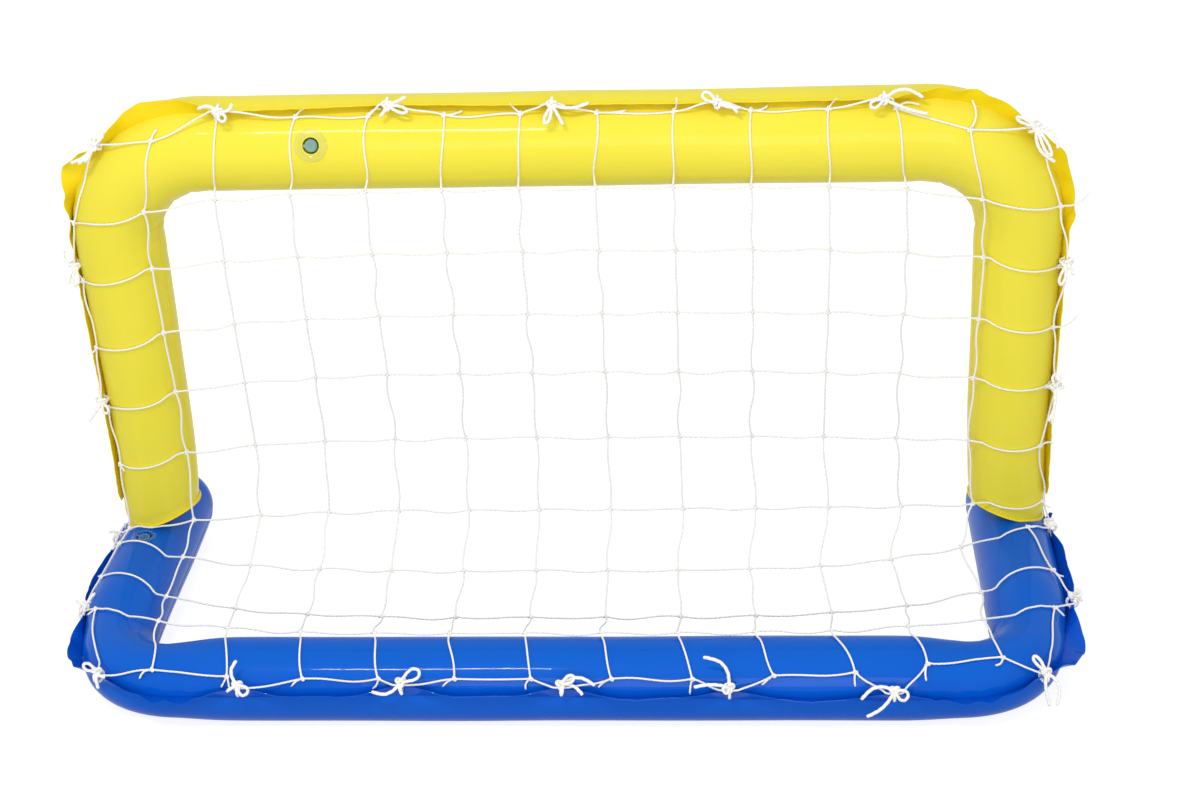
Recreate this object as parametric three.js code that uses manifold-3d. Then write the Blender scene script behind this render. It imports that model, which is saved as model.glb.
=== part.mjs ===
// Inflatable water polo goal: a yellow upper U standing on a blue base U, with a knotted cord net
// tied to the film flanges round both. Millimetres, +Z up, X across the goal, +Y out of its mouth.
// The origin lies on the ground under the middle of the front bar of the base.
import * as THREE from 'three';
import { mergeVertices } from 'three/addons/utils/BufferGeometryUtils.js';
import Module from 'manifold-3d';

const wasm = await Module();
wasm.setup();

// Whole goal
const overallWidth = 1370;
const crossbarHeight = 714; // ground to the crossbar's centre line
const footSetback = 405; // front bar's centre line to the posts' centre line at the ground
const crossbarLean = 123; // how far the crossbar hangs forward of the posts at the ground

// Blue base
const baseTubeDiameter = 112;
const baseReach = 570; // front bar's centre line to the closed far ends
const baseCornerRadius = 82;
const baseEndLength = 62; // length over which a far end closes
const groundFlatDepth = 1.5; // how much the tube flattens where it lies on the ground

// Yellow upper frame
const crossbarDiameter = 126;
const postDiameter = 114;
const footDiameter = 88; // post where it meets the base tube
const upperCornerRadius = 118;
const footTaperLength = 235;
const footLipWidth = 4;

// Film welds
const filmThickness = 1.2;
const lipThickness = 0.8;
const flangeWidth = 20;
const flangeRuffle = 3.5; // how far the free edge waves
const flangeWaveLength = 118;
const seamWidth = 3;
const seamHeight = 0.8;
const fitGap = 0.3; // between pieces that touch

// Net and ties
const netCordDiameter = 3;
const netStandoff = 3.7; // centre of a strand above the tube it lies on
const netColumns = 14;
const netRows = 11;
const netColumnSpacing = 100; // along both bars
const netSampleLength = 17;
const tieCordDiameter = 5;
const tieHoleDiameter = 7.8;
const tieHoleInset = 8; // hole's centre to the flange's free edge
const tieEdgeGap = 1.6; // free edge to the strand that the tie holds
const tieKnotSize = 6.6; // side of each of a knot's two turns
const tieTailLength = 34;
const tieLoopLength = 23;
const tieLoopWidth = 15;
const tieKnotAngle = 10; // round the tie's ring, from the flange's free edge to the net's side
const tieLift = 9.5; // centre of a tail or loop above the tube

// Valves
const pocketDiameter = 22;
const stemLength = 20;
const stemDiameter = 12;
const stemBore = 9;
const stemRimDiameter = 17;
const stemFlangeDiameter = 19;
const stemWall = 1.4; // thickness of the rim and of the bottom flange
const stemRecess = 1; // rim below the tube's surface
const flapDiameter = 11;
const flapThickness = 0.7;
const flapWellDepth = 4;
const plugCapDiameter = 13.4;
const plugCapThickness = 1.6;
const plugBossLength = 5;
const plugBossTaper = 0.9;
const plugClearance = 0.4;
const strapWidth = 4;
const hingeReach = 9.6; // valve's axis to the strap's hinge line
const upperPatchDiameter = 45;
const basePatchDiameter = 36;
const patchThickness = 0.7;
const upperValvePlace = -320; // along the crossbar, from its middle
const upperValveAngle = 66; // round the crossbar, from its outward side to its net side
const baseValveToFoot = 97; // along the left side tube, back to the posts' centre line at the ground

// Facets
const tubeSides = 24;
const roundSides = 16;
const patchSides = 20;
const holeSides = 6;
const cutterSides = 32;
const cornerSteps = 7;
const flangeStep = 38;
const cutOverrun = 30;
const mergeDistance = 0.001; // vertices nearer than this are one

const baseRadius = baseTubeDiameter / 2;
const netCordRadius = netCordDiameter / 2;
const tieRadius = tieCordDiameter / 2;
const degrees = Math.PI / 180;
const acrossGoal = new THREE.Vector3(1, 0, 0);
const upward = new THREE.Vector3(0, 0, 1);

// Materials
function film(color, roughness, opacity = 1) {
  return new THREE.MeshStandardMaterial({
    color, roughness, metalness: 0, opacity, transparent: opacity < 1,
  });
}
const yellowFilm = film(0xede24c, 0.32);
const yellowWeld = film(0xf0d81e, 0.3);
const blueFilm = film(0x0457c8, 0.3);
const blueWeld = film(0x0032a0, 0.3);
const netCord = film(0xebe8e1, 0.85);
const tieCord = film(0xf0eee8, 0.85);
const clearFilm = film(0xd8e2a0, 0.2, 0.6);
const valveVinyl = film(0x6e9f91, 0.35);

// Closed solids from rings of points
function solidFrom(points, faces) {
  const vertProperties = new Float32Array(points.flatMap((point) => [point.x, point.y, point.z]));
  const triVerts = new Uint32Array(faces.flat());
  const solid = new wasm.Manifold(new wasm.Mesh({ numProp: 3, vertProperties, triVerts }));
  if (solid.volume() > 0) return solid;
  return new wasm.Manifold(new wasm.Mesh({
    numProp: 3, vertProperties, triVerts: new Uint32Array(faces.map(([a, b, c]) => [a, c, b]).flat()),
  }));
}

function middleOf(points) {
  const sum = points.reduce((total, point) => total.add(point), new THREE.Vector3());
  return sum.divideScalar(points.length);
}

// Rings of equal count joined in order, with a fan at each end. A sheet's two faces are split alike.
function loft(rings, isSheet = false) {
  const sides = rings[0].length;
  const points = rings.flat();
  const faces = [];
  for (let ring = 0; ring < rings.length - 1; ring += 1) {
    const here = ring * sides;
    const next = here + sides;
    for (let side = 0; side < sides; side += 1) {
      const beside = (side + 1) % sides;
      const [a, b, c, d] = [here + side, here + beside, next + beside, next + side];
      if (isSheet && side >= sides / 2) faces.push([a, b, c], [a, c, d]);
      else faces.push([a, b, d], [b, c, d]);
    }
  }
  const first = points.push(middleOf(rings[0])) - 1;
  const last = points.push(middleOf(rings.at(-1))) - 1;
  const lastRing = (rings.length - 1) * sides;
  for (let side = 0; side < sides; side += 1) {
    const beside = (side + 1) % sides;
    faces.push([first, beside, side]);
    faces.push([last, lastRing + side, lastRing + beside]);
  }
  return solidFrom(points, faces);
}

// A round ring of points about a centre, from two directions at right angles
function roundRing(centre, first, second, radius, sides) {
  return Array.from({ length: sides }, (_, side) => {
    const angle = (side / sides) * 2 * Math.PI;
    return centre.clone()
      .addScaledVector(first, radius * Math.cos(angle))
      .addScaledVector(second, radius * Math.sin(angle));
  });
}

// A three.js geometry as a solid, placed by a matrix
function geometrySolid(geometry, matrix = new THREE.Matrix4()) {
  const bare = geometry.clone().applyMatrix4(matrix);
  bare.deleteAttribute('normal');
  bare.deleteAttribute('uv');
  const merged = mergeVertices(bare, mergeDistance);
  return new wasm.Manifold(new wasm.Mesh({
    numProp: 3,
    vertProperties: new Float32Array(merged.attributes.position.array),
    triVerts: new Uint32Array(merged.index.array),
  }));
}

const goal = new THREE.Group();

function geometryOf(solid) {
  const shape = solid.getMesh();
  const geometry = new THREE.BufferGeometry();
  geometry.setAttribute('position', new THREE.BufferAttribute(shape.vertProperties, shape.numProp));
  geometry.setIndex(new THREE.BufferAttribute(shape.triVerts, 1));
  return geometry;
}

// A join can leave a crumb thinner than a hair beside the piece, so only the piece is kept
function addPiece(name, solid, material) {
  const bodies = geometrySolid(geometryOf(solid)).decompose();
  const geometry = geometryOf(bodies.sort((a, b) => b.volume() - a.volume())[0]);
  geometry.computeVertexNormals();
  const mesh = new THREE.Mesh(geometry, material.clone());
  mesh.name = name;
  goal.add(mesh);
  return mesh;
}

// The two U-shaped air chambers. Each is a centre line in a plane, with a place along it counted
// from the middle of its bar, and an angle round it from its outward side to its net side.
function makeChamber({ origin, leg, face, halfWidth, legLength, cornerRadius, radiusAt }) {
  const flat = halfWidth - cornerRadius;
  const turn = cornerRadius * Math.PI / 2;
  const halfLength = flat + turn + legLength - cornerRadius;
  return { origin, leg, face, halfWidth, legLength, cornerRadius, radiusAt, flat, turn, halfLength };
}

function stationOf(chamber, place) {
  const { origin, leg, face, halfWidth, cornerRadius, flat, turn, halfLength } = chamber;
  const side = place < 0 ? -1 : 1;
  const run = Math.abs(place);
  let across = run;
  let down = 0;
  let angle = 0;
  if (run > flat + turn) {
    across = halfWidth;
    down = cornerRadius + run - flat - turn;
    angle = Math.PI / 2;
  } else if (run > flat) {
    angle = (run - flat) / cornerRadius;
    across = flat + cornerRadius * Math.sin(angle);
    down = cornerRadius * (1 - Math.cos(angle));
  }
  const centre = origin.clone().addScaledVector(acrossGoal, side * across).addScaledVector(leg, down);
  const outward = acrossGoal.clone().multiplyScalar(side * Math.sin(angle))
    .addScaledVector(leg, -Math.cos(angle));
  const along = acrossGoal.clone().multiplyScalar(Math.cos(angle))
    .addScaledVector(leg, side * Math.sin(angle));
  return { centre, outward, along, face, radius: chamber.radiusAt(halfLength - run) };
}

function directionAt(station, angle) {
  return station.outward.clone().multiplyScalar(Math.cos(angle * degrees))
    .addScaledVector(station.face, Math.sin(angle * degrees));
}

function surfacePoint(chamber, place, angle, above) {
  const station = stationOf(chamber, place);
  return station.centre.clone().addScaledVector(directionAt(station, angle), station.radius + above);
}

function between(low, high, share) {
  return low + (high - low) * Math.min(Math.max(share, 0), 1);
}

function baseRadiusAt(fromEnd) {
  const open = Math.min(fromEnd / baseEndLength, 1);
  return baseRadius * Math.sqrt(1 - (1 - open) ** 2);
}

const footRoundShare = 0.24;
const footShoulderShare = 0.9;
function upperRadiusAt(fromEnd) {
  const footShare = fromEnd / footTaperLength;
  const shoulder = postDiameter / 2 * footShoulderShare;
  if (footShare < footRoundShare) return between(footDiameter / 2, shoulder, footShare / footRoundShare);
  if (footShare < 1) {
    return between(shoulder, postDiameter / 2, (footShare - footRoundShare) / (1 - footRoundShare));
  }
  const cornerStart = upper.legLength - upper.cornerRadius;
  return between(postDiameter / 2, crossbarDiameter / 2, (fromEnd - cornerStart) / upper.turn);
}

const base = makeChamber({
  origin: new THREE.Vector3(0, 0, baseRadius - groundFlatDepth),
  leg: new THREE.Vector3(0, 1, 0),
  face: upward,
  halfWidth: overallWidth / 2 - baseRadius,
  legLength: baseReach,
  cornerRadius: baseCornerRadius,
  radiusAt: baseRadiusAt,
});

const postSlope = new THREE.Vector3(0, crossbarLean, -crossbarHeight).normalize();
const postRun = (crossbarHeight - base.origin.z) / -postSlope.z; // crossbar to the base tube's centre
const upper = makeChamber({
  origin: new THREE.Vector3(0, footSetback - crossbarLean, crossbarHeight),
  leg: postSlope,
  face: new THREE.Vector3(0, postSlope.z, -postSlope.y),
  halfWidth: base.halfWidth - (crossbarDiameter - postDiameter),
  legLength: postRun,
  cornerRadius: upperCornerRadius,
  radiusAt: upperRadiusAt,
});

// Places on a post by height above the ground, and on a side tube by distance behind the front bar
const postPlace = (height) => upper.flat + upper.turn - upper.cornerRadius
  + (crossbarHeight - height) / -postSlope.z;
const sidePlace = (setback) => base.flat + base.turn - base.cornerRadius + setback;

function mirrored(places) {
  return [...places.map((place) => -place).reverse(), ...places];
}

function chamberRings(chamber, places, grow = 0) {
  return places.map((place) => {
    const station = stationOf(chamber, place);
    return roundRing(station.centre, station.outward, station.face, station.radius + grow, tubeSides);
  });
}

function cornerPlaces(chamber) {
  const steps = Array.from({ length: cornerSteps + 1 }, (_, step) => step / cornerSteps);
  return steps.map((share) => chamber.flat + chamber.turn * share);
}

const endShares = [0.03, 0.14, 0.38, 0.7, 1];
const basePlaces = mirrored([
  ...cornerPlaces(base),
  ...endShares.map((share) => base.halfLength - baseEndLength * share).reverse(),
]);
const upperPlaces = mirrored([
  ...cornerPlaces(upper),
  upper.halfLength - footTaperLength,
  upper.halfLength - footTaperLength * footRoundShare,
  upper.halfLength,
]);

// A straight round cutter from one point to another, whose flats clear the radius
function roundCutter(from, to, radius, sides) {
  const along = to.clone().sub(from).normalize();
  const helper = Math.abs(along.z) < Math.SQRT1_2 ? upward : acrossGoal;
  const first = new THREE.Vector3().crossVectors(helper, along).normalize();
  const second = new THREE.Vector3().crossVectors(along, first);
  const clear = radius / Math.cos(Math.PI / sides);
  return loft([roundRing(from, first, second, clear, sides), roundRing(to, first, second, clear, sides)]);
}

function boxSolid(low, high) {
  const size = high.clone().sub(low);
  const middle = low.clone().addScaledVector(size, 1 / 2);
  const place = new THREE.Matrix4().makeTranslation(middle.x, middle.y, middle.z);
  return geometrySolid(new THREE.BoxGeometry(size.x, size.y, size.z), place);
}

const groundCutter = boxSolid(
  new THREE.Vector3(-overallWidth, -overallWidth, -baseTubeDiameter),
  new THREE.Vector3(overallWidth, overallWidth, 0),
);

// Valves. Each has a frame: its middle on the tube's surface, out of the tube, and its strap's side.
function valveFrame(chamber, place, angle, strapTurn) {
  const station = stationOf(chamber, place);
  const out = directionAt(station, angle);
  const middle = station.centre.clone().addScaledVector(out, station.radius - stemRecess);
  const strap = station.along.clone().applyAxisAngle(out, strapTurn * degrees);
  return { chamber, station, middle, out, strap, hinge: new THREE.Vector3().crossVectors(out, strap) };
}

const upperValve = valveFrame(upper, upperValvePlace, upperValveAngle, 180);
const baseValve = valveFrame(base, -sidePlace(footSetback - baseValveToFoot), 90, -90);

function valveMatrix(valve) {
  const basis = new THREE.Matrix4().makeBasis(valve.strap, valve.hinge, valve.out);
  return basis.setPosition(valve.middle);
}

// A turned solid about the valve's axis, from a profile of (radius, height) pairs
function turned(valve, profile) {
  const points = profile.map(([radius, height]) => new THREE.Vector2(radius, height));
  const stand = new THREE.Matrix4().makeRotationX(Math.PI / 2);
  return geometrySolid(new THREE.LatheGeometry(points, roundSides), valveMatrix(valve).multiply(stand));
}

function valvePocket(valve) {
  const pocketFloor = -stemLength - fitGap;
  const flapRadius = stemFlangeDiameter / 2 - stemWall;
  return turned(valve, [
    [0, pocketFloor - flapWellDepth],
    [flapRadius, pocketFloor - flapWellDepth],
    [flapRadius, pocketFloor],
    [pocketDiameter / 2, pocketFloor],
    [pocketDiameter / 2, cutOverrun],
    [0, cutOverrun],
  ]);
}

function stemSolid(valve) {
  return turned(valve, [
    [stemBore / 2, -stemLength],
    [stemFlangeDiameter / 2, -stemLength],
    [stemFlangeDiameter / 2, stemWall - stemLength],
    [stemDiameter / 2, stemWall - stemLength],
    [stemDiameter / 2, -stemWall],
    [stemRimDiameter / 2, -stemWall],
    [stemRimDiameter / 2, 0],
    [stemBore / 2, 0],
    [stemBore / 2, -stemLength],
  ]);
}

function flapSolid(valve) {
  return turned(valve, [
    [0, -stemLength - fitGap - flapThickness],
    [flapDiameter / 2, -stemLength - fitGap - flapThickness],
    [flapDiameter / 2, -stemLength - fitGap],
    [0, -stemLength - fitGap],
  ]);
}

function plugSolid(valve) {
  const bossRadius = stemBore / 2 - plugClearance;
  const cap = turned(valve, [
    [0, -plugBossLength],
    [bossRadius - plugBossTaper, -plugBossLength],
    [bossRadius, fitGap],
    [plugCapDiameter / 2, fitGap],
    [plugCapDiameter / 2, fitGap + plugCapThickness],
    [0, fitGap + plugCapThickness],
  ]);
  const strap = new THREE.BoxGeometry(hingeReach - stemBore / 2, strapWidth, plugCapThickness / 2);
  const place = new THREE.Matrix4().makeTranslation(
    (hingeReach + stemBore / 2) / 2, 0, fitGap + plugCapThickness / 4,
  );
  return cap.add(geometrySolid(strap, valveMatrix(valve).multiply(place)));
}

function patchSolid(valve, diameter) {
  const { station, out, middle } = valve;
  const reach = station.along.clone().multiplyScalar(diameter);
  const from = station.centre.clone().sub(reach);
  const to = station.centre.clone().add(reach);
  const inner = roundCutter(from, to, station.radius + fitGap, tubeSides * 2);
  const outer = roundCutter(
    from.addScaledVector(reach, -1 / 2), to.addScaledVector(reach, 1 / 2),
    station.radius + fitGap + patchThickness, tubeSides * 2,
  );
  const above = middle.clone().addScaledVector(out, cutOverrun);
  const disc = roundCutter(station.centre, above, diameter / 2, patchSides);
  const eye = roundCutter(station.centre, above, pocketDiameter / 2, roundSides);
  return outer.subtract(inner).intersect(disc).subtract(eye);
}

// Chambers. The posts' feet are cut to sit on the base tubes.
const baseSolid = loft(chamberRings(base, basePlaces)).subtract(groundCutter)
  .subtract(valvePocket(baseValve));

function sideTube(side, grow) {
  const behind = new THREE.Vector3(side * base.halfWidth, 0, base.origin.z);
  const ahead = behind.clone().addScaledVector(base.leg, base.legLength);
  return roundCutter(behind, ahead, baseRadius + grow, cutterSides);
}

const upperSolid = loft(chamberRings(upper, upperPlaces))
  .subtract(sideTube(-1, fitGap)).subtract(sideTube(1, fitGap))
  .subtract(valvePocket(upperValve));

addPiece('base_air_chamber', baseSolid, blueFilm);
addPiece('upper_air_chamber', upperSolid, yellowFilm);

// Foot welds: a lip of film that laps from the post's foot onto the base tube
function footWeld(side) {
  const shell = sideTube(side, fitGap + lipThickness).subtract(sideTube(side, fitGap));
  const places = [...upperPlaces.slice(-3), upper.halfLength + cutOverrun];
  const legs = places.map((place) => side * place);
  const outer = loft(chamberRings(upper, legs, footLipWidth + fitGap));
  const inner = loft(chamberRings(upper, legs, fitGap));
  const above = boxSolid(
    new THREE.Vector3(-overallWidth, -overallWidth, base.origin.z + baseRadius / 4),
    new THREE.Vector3(overallWidth, overallWidth, baseTubeDiameter + cutOverrun),
  );
  return shell.intersect(outer).intersect(above).subtract(inner);
}
addPiece('left_foot_weld', footWeld(-1), yellowWeld);
addPiece('right_foot_weld', footWeld(1), yellowWeld);

// Inner weld seams
const upperSeamAngle = 165; // round the tube, from its outward side to its net side
const baseSeamAngle = 189;
function innerSeam(chamber, angle, places) {
  const rings = places.map((place) => {
    const station = stationOf(chamber, place);
    const out = directionAt(station, angle);
    const beside = directionAt(station, angle + 90);
    const root = station.centre.clone().addScaledVector(out, station.radius + fitGap);
    return [[-1, 0], [1, 0], [1, 1], [-1, 1]].map(([sideways, high]) => root.clone()
      .addScaledVector(beside, sideways * seamWidth / 2).addScaledVector(out, high * seamHeight));
  });
  return loft(rings);
}
const seamFootGap = 40; // end of a seam to the end of its tube
function seamPlaces(chamber, places, endGap) {
  const last = chamber.halfLength - endGap;
  const kept = places.filter((place) => Math.abs(place) < last);
  return [-last, ...kept, last];
}
addPiece('upper_inner_seam',
  innerSeam(upper, upperSeamAngle, seamPlaces(upper, upperPlaces, baseRadius + seamFootGap)), yellowWeld);
addPiece('base_inner_seam',
  innerSeam(base, baseSeamAngle, seamPlaces(base, basePlaces, baseEndLength)), blueWeld);

// Ties: places along each chamber, from its left side round to its right
const barTieSpacing = 216;
const frontTieSpacing = 209;
const postTieDrops = { left: [376, 176], right: [164, 362] }; // below the crossbar's centre line
const sideTiesToFoot = { left: [48, 250], right: [246, 48] }; // forward of the posts' feet
const barTies = (chamber, spacing) => {
  const corner = chamber.flat + chamber.turn / 2;
  return [-corner, ...[-2, -1, 0, 1, 2].map((count) => count * spacing), corner];
};
const upperTies = {
  left: postTieDrops.left.map((drop) => -postPlace(crossbarHeight - drop)),
  bar: barTies(upper, barTieSpacing),
  right: postTieDrops.right.map((drop) => postPlace(crossbarHeight - drop)),
};
const baseTies = {
  left: sideTiesToFoot.left.map((toFoot) => -sidePlace(footSetback - toFoot)),
  bar: barTies(base, frontTieSpacing),
  right: sideTiesToFoot.right.map((toFoot) => sidePlace(footSetback - toFoot)),
};

// Outer flanges: doubled film along the outer weld, pulled to the net's side by the ties
const upperFlange = {
  chamber: upper, rootAngle: 14, ties: Object.values(upperTies).flat(), endGap: 95,
  lieAngle: () => 48,
};
const flangeBehindFoot = 30; // the posts' centre line at the ground to the base flange's ends
const baseFlange = {
  chamber: base, rootAngle: 0, ties: Object.values(baseTies).flat(),
  endGap: baseReach - footSetback - flangeBehindFoot,
  lieAngle: (place) => between(57, 32, (Math.abs(place) - base.flat) / base.turn),
};

function ruffleAt(flange, place) {
  const nearest = Math.min(...flange.ties.map((tie) => Math.abs(place - tie)));
  const freedom = 1 - Math.exp(-((2 * nearest / flangeWaveLength) ** 2));
  return flangeRuffle * freedom * Math.sin(2 * Math.PI * place / flangeWaveLength);
}

function flangeFrame(flange, place) {
  const station = stationOf(flange.chamber, place);
  const rootDirection = directionAt(station, flange.rootAngle);
  const root = station.centre.clone().addScaledVector(rootDirection, station.radius + 2 * fitGap);
  const lie = flange.lieAngle(place);
  const out = directionAt(station, lie);
  const normal = directionAt(station, lie + 90);
  out.addScaledVector(normal, ruffleAt(flange, place) / flangeWidth).normalize();
  return { root, out, normal, along: station.along };
}

function stepsBetween(from, to, step) {
  const count = Math.round((to - from) / step);
  return Array.from({ length: count - 1 }, (_, index) => from + (to - from) * (index + 1) / count);
}

function flangeSolid(flange) {
  const { flat, turn, halfLength } = flange.chamber;
  const last = halfLength - flange.endGap;
  const places = [
    ...stepsBetween(0, flat, flangeStep), ...cornerPlaces(flange.chamber),
    ...stepsBetween(flat + turn, last, flangeStep), last,
  ];
  const rings = [...places.map((place) => -place).reverse(), 0, ...places].map((place) => {
    const { root, out, normal } = flangeFrame(flange, place);
    const corners = [[0, 0], [1, 0], [1, -1], [0, -1]];
    return corners.map(([wide, thick]) => root.clone()
      .addScaledVector(out, wide * flangeWidth)
      .addScaledVector(normal, thick * filmThickness));
  });
  return flange.ties.reduce((solid, place) => {
    const frame = flangeFrame(flange, place);
    const hole = frame.root.clone().addScaledVector(frame.out, flangeWidth - tieHoleInset);
    const from = hole.clone().addScaledVector(frame.normal, -cutOverrun / 4);
    const to = hole.clone().addScaledVector(frame.normal, cutOverrun / 4);
    return solid.subtract(roundCutter(from, to, tieHoleDiameter / 2, holeSides));
  }, loft(rings, true));
}
addPiece('upper_outer_flange', flangeSolid(upperFlange), yellowWeld);
addPiece('base_outer_flange', flangeSolid(baseFlange), blueWeld);

// Valves
function addValve(side, valve, patchDiameter) {
  addPiece(`${side}_valve_patch`, patchSolid(valve, patchDiameter), clearFilm);
  addPiece(`${side}_valve_stem`, stemSolid(valve), valveVinyl);
  addPiece(`${side}_valve_plug`, plugSolid(valve), clearFilm);
  addPiece(`${side}_valve_flap`, flapSolid(valve), valveVinyl);
}
addValve('upper', upperValve, upperPatchDiameter);
addValve('base', baseValve, basePatchDiameter);

// Keeping cords off the tubes
const tubeSamples = [upper, base].flatMap((chamber) => {
  const count = Math.round(2 * chamber.halfLength / netSampleLength);
  return Array.from({ length: count + 1 }, (_, step) => {
    const place = (2 * step / count - 1) * (chamber.halfLength - baseEndLength / 2);
    return { chamber, ...stationOf(chamber, place) };
  });
});

function pushedOut(point, clearance) {
  const moved = point.clone();
  for (let pass = 0; pass < 4; pass += 1) {
    [upper, base].forEach((chamber) => {
      const samples = tubeSamples.filter((sample) => sample.chamber === chamber);
      const near = samples.reduce((best, sample) => (
        sample.centre.distanceTo(moved) < best.centre.distanceTo(moved) ? sample : best));
      const offset = moved.clone().sub(near.centre);
      offset.addScaledVector(near.along, -offset.dot(near.along));
      const needed = near.radius + clearance;
      const short = needed - offset.length();
      if (short > 0) moved.addScaledVector(offset.normalize(), short);
    });
  }
  return moved;
}

// A strand's points between knots, kept off the tubes, with only the points that bend it
function strandPoints(knots) {
  const points = [knots[0].clone()];
  knots.slice(1).forEach((knot, index) => {
    const from = knots[index];
    const count = Math.max(Math.round(from.distanceTo(knot) / netSampleLength), 1);
    for (let step = 1; step < count; step += 1) {
      const plain = from.clone().lerp(knot, step / count);
      const moved = pushedOut(plain, netStandoff);
      if (moved.distanceTo(plain) > fitGap) points.push(moved);
    }
    points.push(knot.clone());
  });
  return points;
}

// Net knots. Rows run from the crossbar down to the front bar, columns from left to right.
// A border knot lies on a tube, and the ones inside hang between the middle and the sides.
const topKnotAngle = 32;
const cornerKnotAngle = 60;
const sideKnotAngle = 36;
const frontKnotAngle = 28;
const topKnotShift = 4; // how far the bar's knots lie to the right of even
const frontKnotShift = 10;
const sideRows = {
  left: { heights: [607, 510, 412, 318, 222], toFoot: [67, 105, 197, 285] },
  right: { heights: [612, 528, 432, 330, 236, 140], toFoot: [87, 193, 285] },
};
const hangSetbacks = [222, 244, 266, 290, 312, 300, 212, 112, 15]; // middle of each inner row, +Y
const hangHeights = [666, 569, 470, 372, 262, 154, 103, 85, 116];
const sidePull = 4; // how sharply the net turns to its sides

function sidePlaces({ heights, toFoot }) {
  return [
    ...heights.map((height) => ({ chamber: upper, place: postPlace(height) })),
    ...toFoot.map((distance) => ({ chamber: base, place: sidePlace(footSetback - distance) })),
  ];
}
const sideKnots = { left: sidePlaces(sideRows.left), right: sidePlaces(sideRows.right) };

function tieFrame(flange, place) {
  const frame = flangeFrame(flange, place);
  const hole = frame.root.clone().addScaledVector(frame.out, flangeWidth - tieHoleInset)
    .addScaledVector(frame.normal, -filmThickness / 2);
  const heldStrand = hole.clone()
    .addScaledVector(frame.out, tieHoleInset + tieEdgeGap + netCordRadius);
  return { ...frame, hole, heldStrand };
}

function knotAt(row, column) {
  const spread = 2 * column / (netColumns - 1) - 1;
  const side = spread < 0 ? -1 : 1;
  const atSide = column === 0 || column === netColumns - 1;
  if (row === 0 && atSide) return tieFrame(upperFlange, side * (upper.flat + upper.turn / 2)).heldStrand;
  if (row === netRows - 1 && atSide) {
    return tieFrame(baseFlange, side * (base.flat + base.turn / 2)).heldStrand;
  }
  const barPlace = netColumnSpacing * (column - (netColumns - 1) / 2);
  if (row === 0) {
    const cornerShare = (Math.abs(barPlace) - upper.flat) / (upper.turn / 2);
    const angle = between(topKnotAngle, cornerKnotAngle, cornerShare);
    return surfacePoint(upper, barPlace + topKnotShift, angle, netStandoff);
  }
  if (row === netRows - 1) return surfacePoint(base, barPlace + frontKnotShift, frontKnotAngle, netStandoff);
  const { chamber, place } = sideKnots[side < 0 ? 'left' : 'right'][row - 1];
  const edge = surfacePoint(chamber, side * place, sideKnotAngle, netStandoff);
  if (atSide) return edge;
  const pull = Math.abs(spread) ** sidePull;
  const hung = new THREE.Vector3(
    spread * Math.abs(edge.x),
    between(hangSetbacks[row - 1], edge.y, pull),
    between(hangHeights[row - 1], edge.z, pull),
  );
  return pushedOut(hung, netStandoff);
}

const knots = Array.from({ length: netRows }, (_, row) => (
  Array.from({ length: netColumns }, (__, column) => knotAt(row, column))));

// Square cords that meet in blocks. A block is one or more cells in a row, and each side of a cell
// either gives a cord its end or is closed.
const squareSigns = [[-1, -1], [1, -1], [1, 1], [-1, 1]];
const cordSquareShare = Math.sqrt(Math.PI) / 4; // half a square of a round cord's area, to its diameter

function makeCordage(cordDiameter) {
  const points = [];
  const faces = [];
  const half = cordDiameter * cordSquareShare;
  const addPoint = (point) => points.push(point) - 1;
  const close = ([a, b, c, d]) => faces.push([a, b, c], [a, c, d]);

  function addBlock(centre, axes, halfSize, cells = 1) {
    const pointAt = Array.from({ length: cells + 1 }, (_, step) => [-1, 1].map((y) => [-1, 1].map((z) => (
      addPoint(centre.clone().addScaledVector(axes[0], (2 * step - cells) * halfSize)
        .addScaledVector(axes[1], y * halfSize).addScaledVector(axes[2], z * halfSize))))));
    const open = new Map();
    const keep = (axis, sign, cell, ring) => {
      open.set([axis, sign, cell].join(), sign > 0 ? ring : ring.reverse());
    };
    const level = (sign) => (sign > 0 ? 1 : 0);
    [-1, 1].forEach((sign) => {
      const end = pointAt[sign > 0 ? cells : 0];
      keep(0, sign, 0, squareSigns.map(([y, z]) => end[level(y)][level(z)]));
      for (let cell = 0; cell < cells; cell += 1) {
        keep(1, sign, cell, squareSigns.map(([z, x]) => pointAt[cell + level(x)][level(sign)][level(z)]));
        keep(2, sign, cell, squareSigns.map(([x, y]) => pointAt[cell + level(x)][level(y)][level(sign)]));
      }
    });
    return {
      take(axis, sign, cell = 0) {
        const key = [axis, sign, cell].join();
        const ring = open.get(key);
        open.delete(key);
        return ring;
      },
      closeRest: () => open.forEach(close),
    };
  }

  // From one block's side along the route to another's, or to a free end at the route's last point
  function addCord(start, route, end = null) {
    let ring = start;
    const side = points[start[1]].clone().sub(points[start[0]]).normalize();
    const link = (next) => {
      ring.forEach((point, index) => {
        const beside = (index + 1) % ring.length;
        close([point, ring[beside], next[beside], next[index]]);
      });
      ring = next;
    };
    const stops = end ? route.slice(1, -1) : route.slice(1);
    stops.forEach((centre, index) => {
      const after = route[Math.min(index + 2, route.length - 1)];
      const along = after.clone().sub(route[index]).normalize();
      side.addScaledVector(along, -side.dot(along)).normalize();
      const across = new THREE.Vector3().crossVectors(along, side);
      link(squareSigns.map(([one, two]) => addPoint(centre.clone()
        .addScaledVector(side, one * half).addScaledVector(across, two * half))));
    });
    if (!end) {
      close(ring);
      return;
    }
    const arriving = [...end].reverse();
    const turns = arriving.map((_, turn) => [...arriving.slice(turn), ...arriving.slice(0, turn)]);
    const twist = (next) => next.reduce((sum, point, index) => (
      sum + points[point].distanceTo(points[ring[index]])), 0);
    link(turns.sort((one, two) => twist(one) - twist(two))[0]);
  }

  return { half, addBlock, addCord, solid: () => solidFrom(points, faces) };
}

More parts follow.
